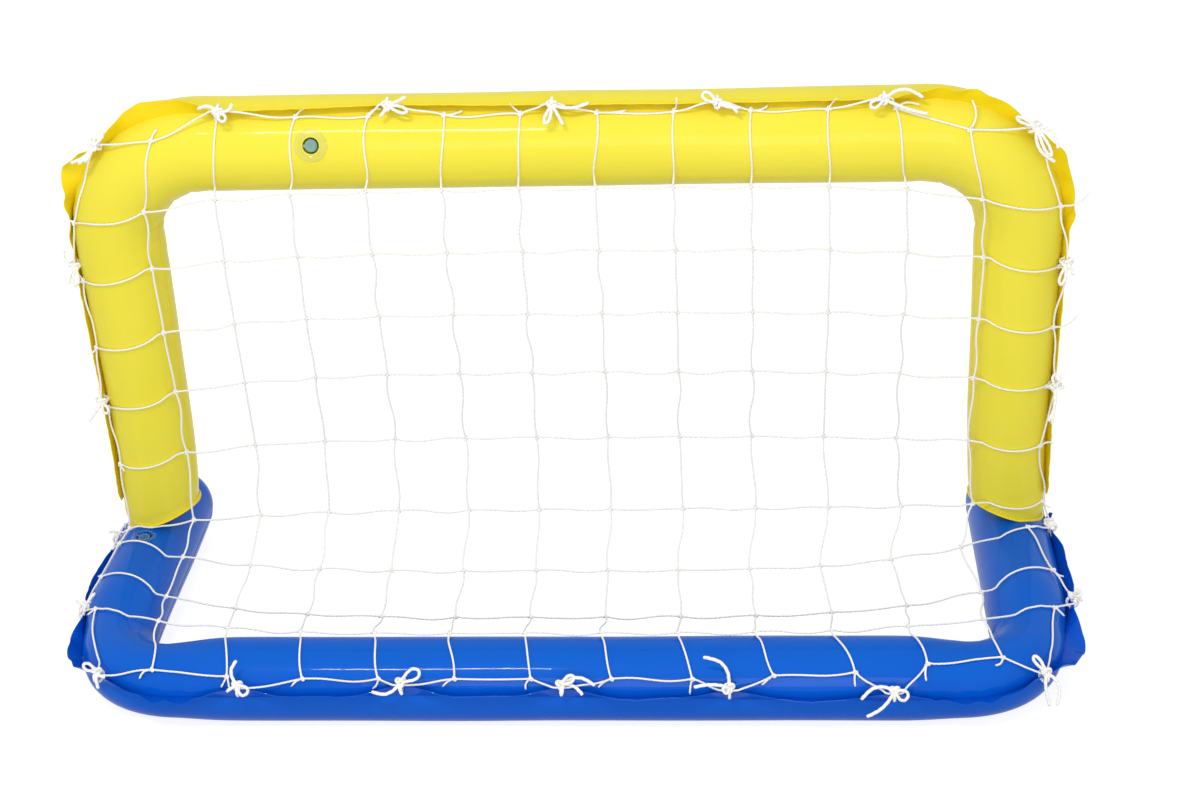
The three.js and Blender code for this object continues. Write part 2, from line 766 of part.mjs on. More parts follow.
function knotAxes(row, column) {
  const line = knots[row];
  const first = line[Math.min(column + 1, netColumns - 1)].clone()
    .sub(line[Math.max(column - 1, 0)]).normalize();
  const down = knots[Math.min(row + 1, netRows - 1)][column].clone()
    .sub(knots[Math.max(row - 1, 0)][column]);
  const third = new THREE.Vector3().crossVectors(first, down).normalize();
  return [first, new THREE.Vector3().crossVectors(third, first), third];
}

// The border strand runs straight through a tie before it turns away
const heldReach = 3 * flangeWidth;
function heldPoints(flange, places) {
  return places.flatMap((place) => {
    const { heldStrand, along } = tieFrame(flange, place);
    return [-1, 0, 1].map((side) => heldStrand.clone().addScaledVector(along, side * tieKnotSize * 3 / 2));
  });
}

// A border strand passes through the ties that lie between its two knots
function borderRoute(from, to, held) {
  const span = to.clone().sub(from);
  const share = (point) => point.clone().sub(from).dot(span) / span.lengthSq();
  const isNear = (point) => point.distanceTo(from.clone().lerp(to, share(point))) < heldReach;
  const inside = held.filter((point) => share(point) > 0 && share(point) < 1 && isNear(point));
  return strandPoints([from, ...inside.sort((one, two) => share(one) - share(two)), to]);
}

function netSolid() {
  const cordage = makeCordage(netCordDiameter);
  const blocks = knots.map((line, row) => line.map((centre, column) => (
    cordage.addBlock(centre, knotAxes(row, column), cordage.half))));
  const heldAtBoth = (side) => heldPoints(upperFlange, upperTies[side])
    .concat(heldPoints(baseFlange, baseTies[side]));
  const rowHeld = {
    0: heldPoints(upperFlange, upperTies.bar.slice(1, -1)),
    [netRows - 1]: heldPoints(baseFlange, baseTies.bar.slice(1, -1)),
  };
  const columnHeld = { 0: heldAtBoth('left'), [netColumns - 1]: heldAtBoth('right') };
  knots.forEach((line, row) => line.forEach((knot, column) => {
    const block = blocks[row][column];
    if (column < netColumns - 1) {
      const route = borderRoute(knot, line[column + 1], rowHeld[row] ?? []);
      cordage.addCord(block.take(0, 1), route, blocks[row][column + 1].take(0, -1));
    }
    if (row < netRows - 1) {
      const route = borderRoute(knot, knots[row + 1][column], columnHeld[column] ?? []);
      cordage.addCord(block.take(1, 1), route, blocks[row + 1][column].take(1, -1));
    }
  }));
  blocks.flat().forEach((block) => block.closeRest());
  return cordage.solid();
}
addPiece('goal_net', netSolid(), netCord);

// Net ties: a ring through the flange's hole and round the border strand, a knot, a loop and two tails
function tieSolid(flange, place, [loopTurn, firstTurn, lastTurn]) {
  const { hole, out, normal } = tieFrame(flange, place);
  const cordage = makeCordage(tieCordDiameter);
  const ringRadius = (tieHoleInset + tieEdgeGap + netCordDiameter + fitGap + tieKnotSize / 2) / 2;
  const middle = hole.clone().addScaledVector(out, ringRadius);
  const roundRingBy = (angle) => out.clone().multiplyScalar(Math.cos(angle * degrees))
    .addScaledVector(normal, Math.sin(angle * degrees));
  const outward = roundRingBy(tieKnotAngle);
  const upEdge = roundRingBy(tieKnotAngle - 90);
  const along = new THREE.Vector3().crossVectors(upEdge, outward);
  const knot = middle.clone().addScaledVector(outward, ringRadius);
  const block = cordage.addBlock(knot, [along, upEdge, outward], tieKnotSize / 2, 2);
  const aside = (cells) => knot.clone().addScaledVector(along, cells * tieKnotSize / 2);
  const toHole = 180 - tieKnotAngle;
  const fromHole = 180 + tieKnotAngle;
  const ringTurns = [1 / 3, 2 / 3, 1].map((share) => toHole * share)
    .concat([1 / 4, 2 / 4, 3 / 4].map((share) => toHole + fromHole * share));
  const ringPoints = ringTurns.map((turn) => middle.clone()
    .addScaledVector(roundRingBy(tieKnotAngle + turn), ringRadius));
  cordage.addCord(block.take(1, -1, 0), [aside(-1), ...ringPoints, aside(1)], block.take(1, 1, 1));
  const swing = (turn, length, lift) => pushedOut(knot.clone()
    .addScaledVector(along, length * Math.cos(turn * degrees))
    .addScaledVector(upEdge, length * Math.sin(turn * degrees))
    .addScaledVector(outward, lift), tieLift + lift);
  const tail = (ring, side, turn) => cordage.addCord(ring, [
    aside(2 * side), swing(turn, tieTailLength / 2, tieRadius / 2), swing(turn, tieTailLength, tieRadius),
  ]);
  tail(block.take(0, 1), 1, firstTurn);
  tail(block.take(0, -1), -1, lastTurn);
  const rise = tieKnotSize + tieRadius;
  const halfLoop = Math.atan(tieLoopWidth / 2 / tieLoopLength) / degrees;
  const loopSide = Math.sign(Math.sin(loopTurn * degrees));
  const loopPoint = (turn, reach) => swing(loopTurn + loopSide * turn, reach, rise);
  cordage.addCord(block.take(2, 1, 0), [
    aside(-1),
    loopPoint(90, tieRadius * 3 / 2),
    loopPoint(halfLoop, tieLoopLength * 3 / 4),
    loopPoint(0, tieLoopLength),
    loopPoint(-halfLoop, tieLoopLength * 3 / 4),
    loopPoint(-90, tieRadius * 3 / 2),
    aside(1),
  ], block.take(2, 1, 1));
  block.closeRest();
  return cordage.solid();
}

// How each bow lies, from the left side round to the right: the turn of its loop and of its two
// tails, from the flange's edge line
const upperBowTurns = [
  [62, 12, 160], [106, 14, 165], [66, 20, 170], [60, 15, 172], [106, 32, 160],
  [66, 4, 176], [106, -8, 188], [62, 10, 170], [106, 16, 160], [62, 20, 165], [106, 14, 160],
];
const baseBowTurns = [
  [106, 20, 165], [62, 15, 160], [64, 20, 166], [106, 30, 168], [60, 12, 168],
  [106, 8, 170], [62, 40, 166], [106, 12, 172], [64, 15, 162], [106, 20, 165], [62, 15, 168],
];
function addTies(side, flange, bowTurns) {
  flange.ties.forEach((place, index) => {
    addPiece(`${side}_net_tie_${index + 1}`, tieSolid(flange, place, bowTurns[index]), tieCord);
  });
}
addTies('upper', upperFlange, upperBowTurns);
addTies('base', baseFlange, baseBowTurns);

export default goal;
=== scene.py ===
import random
from math import cos, degrees, exp, pi, radians, sin, sqrt, tau

import bpy
import numpy as np
from mathutils import Matrix, Vector, noise


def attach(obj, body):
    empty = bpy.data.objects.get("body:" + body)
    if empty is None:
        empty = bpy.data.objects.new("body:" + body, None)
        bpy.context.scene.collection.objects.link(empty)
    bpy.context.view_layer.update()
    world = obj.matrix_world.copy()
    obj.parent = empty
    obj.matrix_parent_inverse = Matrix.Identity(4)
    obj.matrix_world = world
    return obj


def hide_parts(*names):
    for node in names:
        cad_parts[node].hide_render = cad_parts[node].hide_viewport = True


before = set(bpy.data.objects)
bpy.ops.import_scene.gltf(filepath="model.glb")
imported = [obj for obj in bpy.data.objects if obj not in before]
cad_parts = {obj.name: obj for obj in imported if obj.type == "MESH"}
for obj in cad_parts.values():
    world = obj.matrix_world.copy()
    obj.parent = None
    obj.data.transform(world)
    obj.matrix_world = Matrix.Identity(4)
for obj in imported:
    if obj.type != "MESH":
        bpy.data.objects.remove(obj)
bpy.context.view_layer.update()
mm = 0.001
acrossGoal = Vector((1, 0, 0))
upward = Vector((0, 0, 1))
print("packed goal loaded")

# Camera: the photograph's own place and angle
cameraLook = {
    "place": Vector((0.2525, -2.8312, 1.7530)),
    "forward": Vector((-0.06114, 0.90811, -0.41425)),
    "lens": 74.12,
    "sensor": 36.0,
}
viewRight = cameraLook["forward"].cross(upward).normalized()
viewUp = viewRight.cross(cameraLook["forward"]).normalized()
viewRoll = radians(-2.08)  # the photograph leans a little
viewRight = (viewRight * cos(viewRoll) + viewUp * sin(viewRoll)).normalized()
viewUp = viewRight.cross(cameraLook["forward"]).normalized()


def addObject(name, data):
    made = bpy.data.objects.new(name, data)
    bpy.context.scene.collection.objects.link(made)
    return made


def makeCamera():
    data = bpy.data.cameras.new("goalCamera")
    data.lens = cameraLook["lens"]
    data.sensor_width = cameraLook["sensor"]
    data.clip_start = 0.05
    data.clip_end = 60
    camera = addObject("goalCamera", data)
    turn = Matrix((viewRight, viewUp, -cameraLook["forward"])).transposed().to_4x4()
    camera.matrix_world = Matrix.Translation(cameraLook["place"]) @ turn
    bpy.context.scene.camera = camera


makeCamera()

# The two chambers' centre lines and radii, in metres
goalSizes = {
    "width": 1.370,
    "crossbarHeight": 0.714,
    "footSetback": 0.405,
    "crossbarLean": 0.123,
    "baseTube": 0.112,
    "baseReach": 0.570,
    "baseCorner": 0.100,
    "cornerPinch": 0.007,
    "baseEnd": 0.062,
    "groundFlat": 0.0015,
    "crossbarTube": 0.126,
    "postTube": 0.121,
    "neckTube": 0.1085,
    "upperCorner": 0.138,
    "cornerSwell": 0.0018,
    "postInset": 0.012,  # a post's centre line inside the base's
    "postsDrawIn": 0.0055,
    "upperShift": 0.002,
    "fitGap": 0.0003,
}
baseRadius = goalSizes["baseTube"] / 2
fitGap = goalSizes["fitGap"]


def between(low, high, share):
    return low + (high - low) * min(max(share, 0), 1)


def bump(value, middle, width):
    return exp(-(((value - middle) / width) ** 2))


def makeChamber(origin, leg, face, halfWidth, legLength, corner, radiusAt):
    flat = halfWidth - corner
    turn = corner * pi / 2
    return {
        "origin": origin, "leg": leg, "face": face, "halfWidth": halfWidth, "corner": corner,
        "radiusAt": radiusAt, "flat": flat, "turn": turn, "legLength": legLength,
        "halfLength": flat + turn + legLength - corner,
    }


cornerReach = {"bent": (0.5, 0.75), "swell": (0.45, 0.4), "folds": (0.5, 0.62)}  # middle and width


def cornerShare(chamber, place):  # 0 where a corner starts on the bar, 1 where it ends
    return (abs(place) - chamber["flat"]) / chamber["turn"]


def nearCorner(chamber, place, kind):  # 1 round a corner, 0 on the straights
    middle, width = cornerReach[kind]
    return exp(-(((cornerShare(chamber, place) - middle) / width) ** 4))


def station(chamber, place):  # centre, outward, along and radius at a place along the U
    side = -1 if place < 0 else 1
    run = abs(place)
    flat, turn, corner = chamber["flat"], chamber["turn"], chamber["corner"]
    across, down, angle = run, 0, 0
    if run > flat + turn:
        across, down, angle = chamber["halfWidth"], corner + run - flat - turn, pi / 2
    elif run > flat:
        angle = (run - flat) / corner
        across = flat + corner * sin(angle)
        down = corner * (1 - cos(angle))
    centre = chamber["origin"] + acrossGoal * side * across + chamber["leg"] * down
    if "footLean" in chamber:  # the foot settles a little outward and back on its tube
        settle = between(0, 1, 1 - (chamber["halfLength"] - run) / chamber["footLean"]["reach"]) ** 2
        centre = centre + Vector((side * chamber["footLean"]["out"],
                                  chamber["footLean"]["back"][side], 0)) * settle
    outward = acrossGoal * side * sin(angle) - chamber["leg"] * cos(angle)
    along = acrossGoal * cos(angle) + chamber["leg"] * side * sin(angle)
    radius = chamber["radiusAt"](chamber["halfLength"] - run)
    if "pinch" in chamber:  # a corner is drawn in and lies on the ground
        pinch = chamber["pinch"] * nearCorner(chamber, place, "bent")
        centre = centre - (outward + upward) * pinch
        radius -= pinch
    if "swell" in chamber:  # a corner stands fuller on its outer side
        swell = chamber["swell"] * nearCorner(chamber, place, "swell")
        centre = centre + outward * swell
        radius += swell
    return centre, outward, along, radius


def directionAt(chamber, outward, angle):  # degrees, from the outward side to the net's side
    turn = radians(angle)
    return outward * cos(turn) + chamber["face"] * sin(turn)


def surfacePoint(chamber, place, angle, above=0.0):
    centre, outward, along, radius = station(chamber, place)
    return centre + directionAt(chamber, outward, angle) * (radius + above)


def baseRadiusAt(fromEnd):
    opened = min(max(fromEnd / goalSizes["baseEnd"], 0), 1)
    return baseRadius * sqrt(1 - (1 - opened) ** 2)


footShape = {
    "blend": 0.18, "search": 0.16, "searchSteps": 26, "rings": 30, "capRings": 6,
    "crease": 0.8 * mm, "creaseFromTube": 9 * mm, "creaseReach": 7 * mm,
    "tuck": 5 * mm, "tuckStart": 0.045, "tuckReach": 0.035,  # the end's rounded rim
    "endHeight": 0.1155, "endTilt": 0.021,  # the welded end is lower on the outside
}


def upperRadiusAt(fromEnd):
    cornerStart = upper["legLength"] - upper["corner"]
    neck, post = goalSizes["neckTube"] / 2, goalSizes["postTube"] / 2
    if fromEnd > cornerStart:
        return between(post, goalSizes["crossbarTube"] / 2, (fromEnd - cornerStart) / upper["turn"])
    rounded = between(0, 1, (fromEnd - footShape["tuckStart"]) / footShape["tuckReach"])
    tuck = footShape["tuck"] * (1 - sin(pi / 2 * rounded))
    return between(neck, post, fromEnd / cornerStart) - tuck


base = makeChamber(
    Vector((0, 0, baseRadius - goalSizes["groundFlat"])), Vector((0, 1, 0)), upward,
    goalSizes["width"] / 2 - baseRadius, goalSizes["baseReach"], goalSizes["baseCorner"], baseRadiusAt)
base["pinch"] = goalSizes["cornerPinch"]
slope = Vector((0, goalSizes["crossbarLean"], -goalSizes["crossbarHeight"])).normalized()
upper = makeChamber(
    Vector((goalSizes["upperShift"], goalSizes["footSetback"] - goalSizes["crossbarLean"],
            goalSizes["crossbarHeight"])),
    slope, Vector((0, slope.z, -slope.y)),
    base["halfWidth"] - goalSizes["postInset"] - goalSizes["postsDrawIn"],
    (goalSizes["crossbarHeight"] - base["origin"].z) / -slope.z, goalSizes["upperCorner"], upperRadiusAt)
upper["footLean"] = {"reach": 0.26, "out": 0.0135, "back": {-1: 0.003, 1: 0.014}}
upper["swell"] = goalSizes["cornerSwell"]


def postPlace(height):
    drop = (goalSizes["crossbarHeight"] - height) / -slope.z
    return upper["flat"] + upper["turn"] - upper["corner"] + drop


def sidePlace(setback):
    return base["flat"] + base["turn"] - base["corner"] + setback


# Materials
def linear(hexColour):
    parts = [int(hexColour[i:i + 2], 16) / 255 for i in (0, 2, 4)]
    return [p / 12.92 if p <= 0.04045 else ((p + 0.055) / 1.055) ** 2.4 for p in parts] + [1.0]


def newMaterial(name):
    material = bpy.data.materials.new(name)
    material.use_nodes = True
    tree = material.node_tree
    return material, tree, tree.nodes["Principled BSDF"]


def feed(tree, node, **inputs):  # each input takes a value or another node's output
    for key, value in inputs.items():
        socket = node.inputs[key.replace("_", " ")]
        if isinstance(value, bpy.types.NodeSocket):
            tree.links.new(value, socket)
        else:
            socket.default_value = value
    return node


def addNode(tree, kind, **inputs):
    return feed(tree, tree.nodes.new(kind), **inputs)


def spread(tree, source, low, high):  # a 0..1 value mapped to a range
    return addNode(tree, "ShaderNodeMapRange", Value=source, To_Min=low, To_Max=high).outputs["Result"]


def addNoise(tree, **inputs):
    place = tree.nodes.new("ShaderNodeTexCoord").outputs["Object"]
    return addNode(tree, "ShaderNodeTexNoise", Vector=place, **inputs).outputs["Fac"]


def addBump(tree, height, strength, distance, **under):
    return addNode(tree, "ShaderNodeBump", Height=height, Strength=strength, Distance=distance,
                   **under).outputs["Normal"]


def mixed(tree, first, second, factor):  # a colour between two, by a 0..1 value
    made = tree.nodes.new("ShaderNodeMix")
    made.data_type = "RGBA"
    return feed(tree, made, A=first, B=second, Factor=factor).outputs["Result"]


filmLook = {
    "roughness": (0.26, 0.38),
    "specular": 0.02,
    "coat": 0.18,
    "coatRoughness": 0.05,
    "cloudScale": 7.0,       # slow unevenness of the printed colour, per metre
    "creaseScale": 38.0,     # fine tension lines
    "grainScale": 900.0,     # the film's own matt grain
    "creaseDepth": 0.0009,
    "creaseStrength": 0.35,
    "grainDepth": 0.00002,
    "grainStrength": 0.5,
    "deepest": 0.7,          # largest share of the deeper colour
}


def filmMaterial(name, colour, deepColour):
    material, tree, shader = newMaterial(name)
    look = filmLook
    cloud = addNoise(tree, Scale=look["cloudScale"], Detail=3.0)
    crease = addNoise(tree, Scale=look["creaseScale"], Detail=2.0, Distortion=0.6)
    grain = addNoise(tree, Scale=look["grainScale"], Detail=2.0)
    deepShare = spread(tree, cloud, 0.0, look["deepest"])
    soft = addBump(tree, crease, look["creaseStrength"], look["creaseDepth"])
    feed(tree, shader, Base_Color=mixed(tree, linear(colour), linear(deepColour), deepShare),
         Roughness=spread(tree, crease, *look["roughness"]),
         Normal=addBump(tree, grain, look["grainStrength"], look["grainDepth"], Normal=soft),
         Specular_IOR_Level=look["specular"], Coat_Weight=look["coat"],
         Coat_Roughness=look["coatRoughness"])
    return material


cordLook = {
    "turnsPerMetre": 190.0, "strandsRound": 3.0, "bandScale": 0.5, "twistDepth": 0.0005,
    "twistStrength": 0.8, "fuzzScale": 1400.0, "fuzzDepth": 0.0001, "fuzzStrength": 0.5,
    "roughness": (0.7, 0.95), "unshadedShare": (0.35, 1.0), "sheen": 0.25,
}


def cordMaterial(name, colour, paintedShadeColour):  # twisted white cord, with painted shade in the grooves of its twist; U runs round it and V along it
    material, tree, shader = newMaterial(name)
    look = cordLook
    wrap = tree.nodes.new("ShaderNodeUVMap").outputs["UV"]
    turned = addNode(tree, "ShaderNodeMapping", Vector=wrap,
                     Scale=(look["strandsRound"], look["turnsPerMetre"], 1))
    wave = addNode(tree, "ShaderNodeTexWave", Vector=turned.outputs["Vector"], Scale=look["bandScale"],
                   Distortion=0.4)
    wave.wave_type = "BANDS"
    wave.bands_direction = "DIAGONAL"
    twist = wave.outputs["Fac"]
    fuzz = addNoise(tree, Scale=look["fuzzScale"], Detail=3.0)
    # The twist bands mix in painted shade: the cord's own colour on the strands' crowns, darker in the
    # grooves between them
    unshadedShare = spread(tree, twist, *look["unshadedShare"])
    groove = addBump(tree, twist, look["twistStrength"], look["twistDepth"])
    feed(tree, shader, Base_Color=mixed(tree, linear(paintedShadeColour), linear(colour), unshadedShare),
         Roughness=spread(tree, fuzz, *look["roughness"]),
         Normal=addBump(tree, fuzz, look["fuzzStrength"], look["fuzzDepth"], Normal=groove),
         Sheen_Weight=look["sheen"])
    return material


vinylLook = {
    "cloudScale": 160.0, "smoother": 0.05, "rougher": 0.1, "rippleStrength": 0.3, "rippleDepth": 0.0003,
    "coat": 0.4, "coatRoughness": 0.08,
}


def vinylMaterial(name, colour, roughness, alpha):  # moulded valve parts and the clear weld patch
    material, tree, shader = newMaterial(name)
    look = vinylLook
    cloud = addNoise(tree, Scale=look["cloudScale"], Detail=3.0)
    feed(tree, shader, Base_Color=linear(colour), Alpha=alpha,
         Roughness=spread(tree, cloud, roughness - look["smoother"], roughness + look["rougher"]),
         Normal=addBump(tree, cloud, look["rippleStrength"], look["rippleDepth"]),
         Coat_Weight=look["coat"], Coat_Roughness=look["coatRoughness"])
    return material


yellowFilm = filmMaterial("yellowFilm", "F0E348", "ECDC38")
yellowWeld = filmMaterial("yellowWeld", "F3DC20", "EFCE10")
blueFilm = filmMaterial("blueFilm", "0660CE", "0256C2")
blueWeld = filmMaterial("blueWeld", "0556CC", "034ABC")
# Each cord's second colour is the painted shade for the grooves of its twist
netCord = cordMaterial("netCord", "FCFBF8", "F2F0EB")
tieCord = cordMaterial("tieCord", "FBFAF6", "EDEAE3")
clearFilm = vinylMaterial("clearFilm", "E6E77C", 0.14, 0.24)
clearBlueFilm = vinylMaterial("clearBlueFilm", "3F7FD6", 0.14, 0.4)
valveVinyl = vinylMaterial("valveVinyl", "6E9F91", 0.3, 1.0)
plugVinyl = vinylMaterial("plugVinyl", "9CC4B0", 0.16, 0.5)
bluePlugVinyl = vinylMaterial("bluePlugVinyl", "3C78C8", 0.16, 0.6)
print("materials made")


# Mesh helpers
def meshOf(name, points, faces):
    mesh = bpy.data.meshes.new(name)
    mesh.from_pydata([tuple(p) for p in points], [], faces)
    return mesh


def addMesh(name, points, faces, material, slotName, body, nodes=(), uvs=None, sharpAngle=50):
    mesh = meshOf(name, points, faces)
    mesh.validate()
    if uvs is not None:
        layer = mesh.uv_layers.new(name="wrap")
        corners = np.zeros(len(mesh.loops), np.int32)
        mesh.loops.foreach_get("vertex_index", corners)
        layer.data.foreach_set("uv", np.asarray(uvs, np.float32)[corners].ravel())
    mesh.materials.append(material)
    mesh.shade_smooth()
    mesh.set_sharp_from_angle(angle=radians(sharpAngle))
    made = addObject(name, mesh)
    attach(made, body)
    if nodes:
        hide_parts(*nodes)
    return made


def loftRings(rings, closed=False):  # rings of points joined in order; open ends get a fan
    sides = len(rings[0])
    points = [p for ring in rings for p in ring]
    faces = []
    last = len(rings) if closed else len(rings) - 1
    for row in range(last):
        here, following = row * sides, (row + 1) % len(rings) * sides
        for side in range(sides):
            beside = (side + 1) % sides
            faces.append((here + side, here + beside, following + beside, following + side))
    if not closed:
        for ring, start, turned in ((rings[0], 0, True), (rings[-1], (len(rings) - 1) * sides, False)):
            middle = sum((Vector(p) for p in ring), Vector()) / sides
            points.append(middle)
            for side in range(sides):
                pair = (start + side, start + (side + 1) % sides)
                faces.append((*(reversed(pair) if turned else pair), len(points) - 1))
    return points, faces


def faceOut(made):  # turns the faces out, whichever way the rings ran
    bpy.context.view_layer.objects.active = made
    made.select_set(True)
    bpy.ops.object.mode_set(mode="EDIT")
    bpy.ops.mesh.select_all(action="SELECT")
    bpy.ops.mesh.normals_make_consistent(inside=False)
    bpy.ops.object.mode_set(mode="OBJECT")
    made.select_set(False)


def addSolid(name, loft, material, slotName, node, body="goal", sharpAngle=50):
    made = addMesh(name, *loft, material, slotName, body, [node], sharpAngle=sharpAngle)
    faceOut(made)
    return made


def smoothBelow(made, sharpAngle):
    made.data.shade_smooth()
    made.data.set_sharp_from_angle(angle=radians(sharpAngle))


def cutWith(made, cutters):  # takes the cutters' solids out of a piece
    for cutter in cutters:
        change = made.modifiers.new("cut", "BOOLEAN")
        change.operation = "DIFFERENCE"
        change.solver = "EXACT"
        change.object = cutter
    whole = made.evaluated_get(bpy.context.evaluated_depsgraph_get())
    cut = bpy.data.meshes.new_from_object(whole)
    made.modifiers.clear()
    made.data = cut
    for cutter in cutters:
        bpy.data.objects.remove(cutter)


def rodCutter(start, end, radius, sides=48):
    along = (end - start).normalized()
    first = along.orthogonal().normalized()
    second = along.cross(first)
    rings = [[centre + (first * cos(a) + second * sin(a)) * radius
              for a in (tau * side / sides for side in range(sides))] for centre in (start, end)]
    cutter = addObject("cutter", meshOf("cutter", *loftRings(rings)))
    faceOut(cutter)
    return cutter


# Valve frames: the middle of the rim, out of the tube, and the strap's side
valveSizes = {
    "rimRecess": 1.0 * mm, "pocket": 22 * mm, "stemLength": 20 * mm, "bore": 9 * mm, "stem": 12 * mm,
    "rim": 17 * mm, "flange": 19 * mm, "wall": 1.4 * mm, "cap": 13.4 * mm, "capThick": 1.6 * mm,
    "hinge": 9.6 * mm, "bossLength": 5 * mm, "upperPatch": 45 * mm, "basePatch": 36 * mm,
    "pocketSpare": 4 * mm, "cutAbove": 30 * mm,
    "upperPlace": 0.320, "beforeFoot": 0.097,  # left of the middle, and in front of the left foot
    "patchThick": 0.7 * mm, "patchGap": 1.4 * mm,  # the opened plug's strap folds inside the patch
}
valvePlaces = {  # place along the U and angle round the tube
    "upper": (-valveSizes["upperPlace"] - goalSizes["upperShift"], 66),
    "base": (-sidePlace(goalSizes["footSetback"] - valveSizes["beforeFoot"]), 90),
}


def valveFrame(chamber, place, angle, strapTurn):
    centre, outward, along, radius = station(chamber, place)
    out = directionAt(chamber, outward, angle)
    strap = Matrix.Rotation(radians(strapTurn), 3, out) @ along
    return {"chamber": chamber, "place": place, "angle": angle, "out": out, "strap": strap,
            "cross": out.cross(strap), "middle": centre + out * (radius - valveSizes["rimRecess"])}


upperValve = valveFrame(upper, *valvePlaces["upper"], 180)
baseValve = valveFrame(base, *valvePlaces["base"], -90)


def valvePoint(valve, side, cross, high):
    return valve["middle"] + valve["strap"] * side + valve["cross"] * cross + valve["out"] * high


# Ties: where each pulls its flange. Shift along the tube, the weld's angle there and the flange's lie
def tieRow(chamber, spacing, left, right, pulls):
    corner = chamber["flat"] + chamber["turn"] / 2
    even = left + [-corner, *[count * spacing for count in (-2, -1, 0, 1, 2)], corner] + right
    return {
        "chamber": chamber,
        "ties": [place + shift * mm for place, (shift, root, lie) in zip(even, pulls)],
        "roots": [root for shift, root, lie in pulls],
        "lies": [lie for shift, root, lie in pulls],
    }


upperFlange = tieRow(
    upper, 0.216, [-postPlace(0.338), -postPlace(0.538)], [postPlace(0.550), postPlace(0.352)],
    [(-5, 16, 92), (10, 6, 90), (10, 18, 61), (-9, 22, 60), (-3, 15, 60), (-4, 19, 60), (-6, 20, 60),
     (-8, 18, 60), (-7, 13, 48), (9, 18, 84), (7, 17, 86)])
baseFlange = tieRow(
    base, 0.209, [-sidePlace(0.357), -sidePlace(0.155)], [sidePlace(0.159), sidePlace(0.357)],
    [(-18, -6, 90), (0, 1, 96), (13, 7, 64), (-6, 6, 63), (1, 9, 66), (2, 6, 64), (12, 3, 60),
     (16, 0, 56), (-6, 4, 54), (4, 5, 74), (11, 12, 98)])


def rootAt(flange, place):  # the outer weld's angle
    return float(np.interp(place, flange["ties"], flange["roots"]))


# Air chambers: film tubes with drawn-in welds, folds inside the corners and a slow unevenness
filmShape = {
    "upper": {"flange": upperFlange, "seamAngle": 165, "foldDepth": 3.4 * mm, "folds": 5, "seed": 3.0},
    "base": {"flange": baseFlange, "seamAngle": 189, "foldDepth": 3.0 * mm, "folds": 4, "seed": 11.0},
    "seamDraw": 0.9 * mm,      # how deep a weld pulls the film in
    "puckerDepth": 1.1 * mm,
    "puckerLength": 26 * mm,
    "unevenness": 1.3 * mm,
    "ringStep": 6 * mm,
    "sides": 96,
    "insideAngle": 4, "insidePower": 2.2, "valleyPower": 2.6,
    "seamReach": 7, "puckerReach": 17, "innerSeamShare": 0.8,  # degrees round the tube
    "puckerOnBars": 0.18, "puckerAtCorners": 0.82, "endRings": 14,
    "wobbleScale": (9, 0.02), "wobble": 0.5, "puckerWobble": 4, "slowScale": (5, 0.9),
}


def angleGap(one, other):
    return (one - other + 180) % 360 - 180


def filmLift(chamber, shape, place, angle):  # how far the film stands off the plain tube
    film = filmShape
    corner = nearCorner(chamber, place, "folds")
    inside = max(0.0, -cos(radians(angle - film["insideAngle"]))) ** film["insidePower"]
    along, across = film["wobbleScale"]
    wobble = noise.noise(Vector((place * along, angle * across, shape["seed"]))) * film["wobble"]
    fold = shape["folds"] * cornerShare(chamber, place) + wobble
    lift = -shape["foldDepth"] * corner * inside * (1 - abs(sin(pi * fold))) ** film["valleyPower"]
    rootAngle = rootAt(shape["flange"], place)
    for weld, weight in ((rootAngle, 1.0), (shape["seamAngle"], film["innerSeamShare"])):
        lift -= film["seamDraw"] * weight * bump(angleGap(angle, weld), 0, film["seamReach"])
    beside = bump(angleGap(angle, rootAngle), 0, film["puckerReach"])
    wave = (1 + sin(tau * place / film["puckerLength"] + film["puckerWobble"] * wobble)) / 2
    lift -= film["puckerDepth"] * beside * wave * (film["puckerOnBars"] + film["puckerAtCorners"] * corner)
    turned = radians(angle)
    along, across = film["slowScale"]
    slow = Vector((place * along, cos(turned) * across, sin(turned) * across + shape["seed"]))
    return lift + film["unevenness"] * noise.noise(slow)


def filmPoint(chamber, shape, place, angle, above=0.0):
    return surfacePoint(chamber, place, angle, above + filmLift(chamber, shape, place, angle))


def evenPlaces(start, end, step):
    count = max(int(round((end - start) / step)), 1)
    return [start + (end - start) * i / count for i in range(count + 1)]


ringAngles = [360 * side / filmShape["sides"] for side in range(filmShape["sides"])]


def makeBaseChamber():
    last = base["halfLength"]
    count = filmShape["endRings"]
    endSteps = [goalSizes["baseEnd"] * (1 - cos(pi / 2 * i / count)) for i in range(1, count)]
    body = evenPlaces(-last + goalSizes["baseEnd"], last - goalSizes["baseEnd"], filmShape["ringStep"])
    places = [-last + step for step in endSteps] + body + [last - step for step in reversed(endSteps)]
    rings = []
    for place in places:
        fade = min(1.0, (last - abs(place)) / goalSizes["baseEnd"])
        ring = []
        for angle in ringAngles:
            lift = filmLift(base, filmShape["base"], place, angle) * fade
            point = surfacePoint(base, place, angle, lift)
            point.z = max(point.z, 0.0)  # lies flat on the ground
            ring.append(point)
        rings.append(ring)
    return addSolid("baseAirChamber", loftRings(rings), blueFilm, "blue_film", "base_air_chamber")


def tubeAxisPoint(point):  # nearest point on the axis of the side tube under a post
    side = -1 if point.x < 0 else 1
    return Vector((side * base["halfWidth"], point.y, base["origin"].z))


def keptOffTube(point, above):  # moved out to the tube's surface only where it would lie inside it
    axis = tubeAxisPoint(point)
    least = baseRadius + above
    return point if (point - axis).length > least else axis + (point - axis).normalized() * least


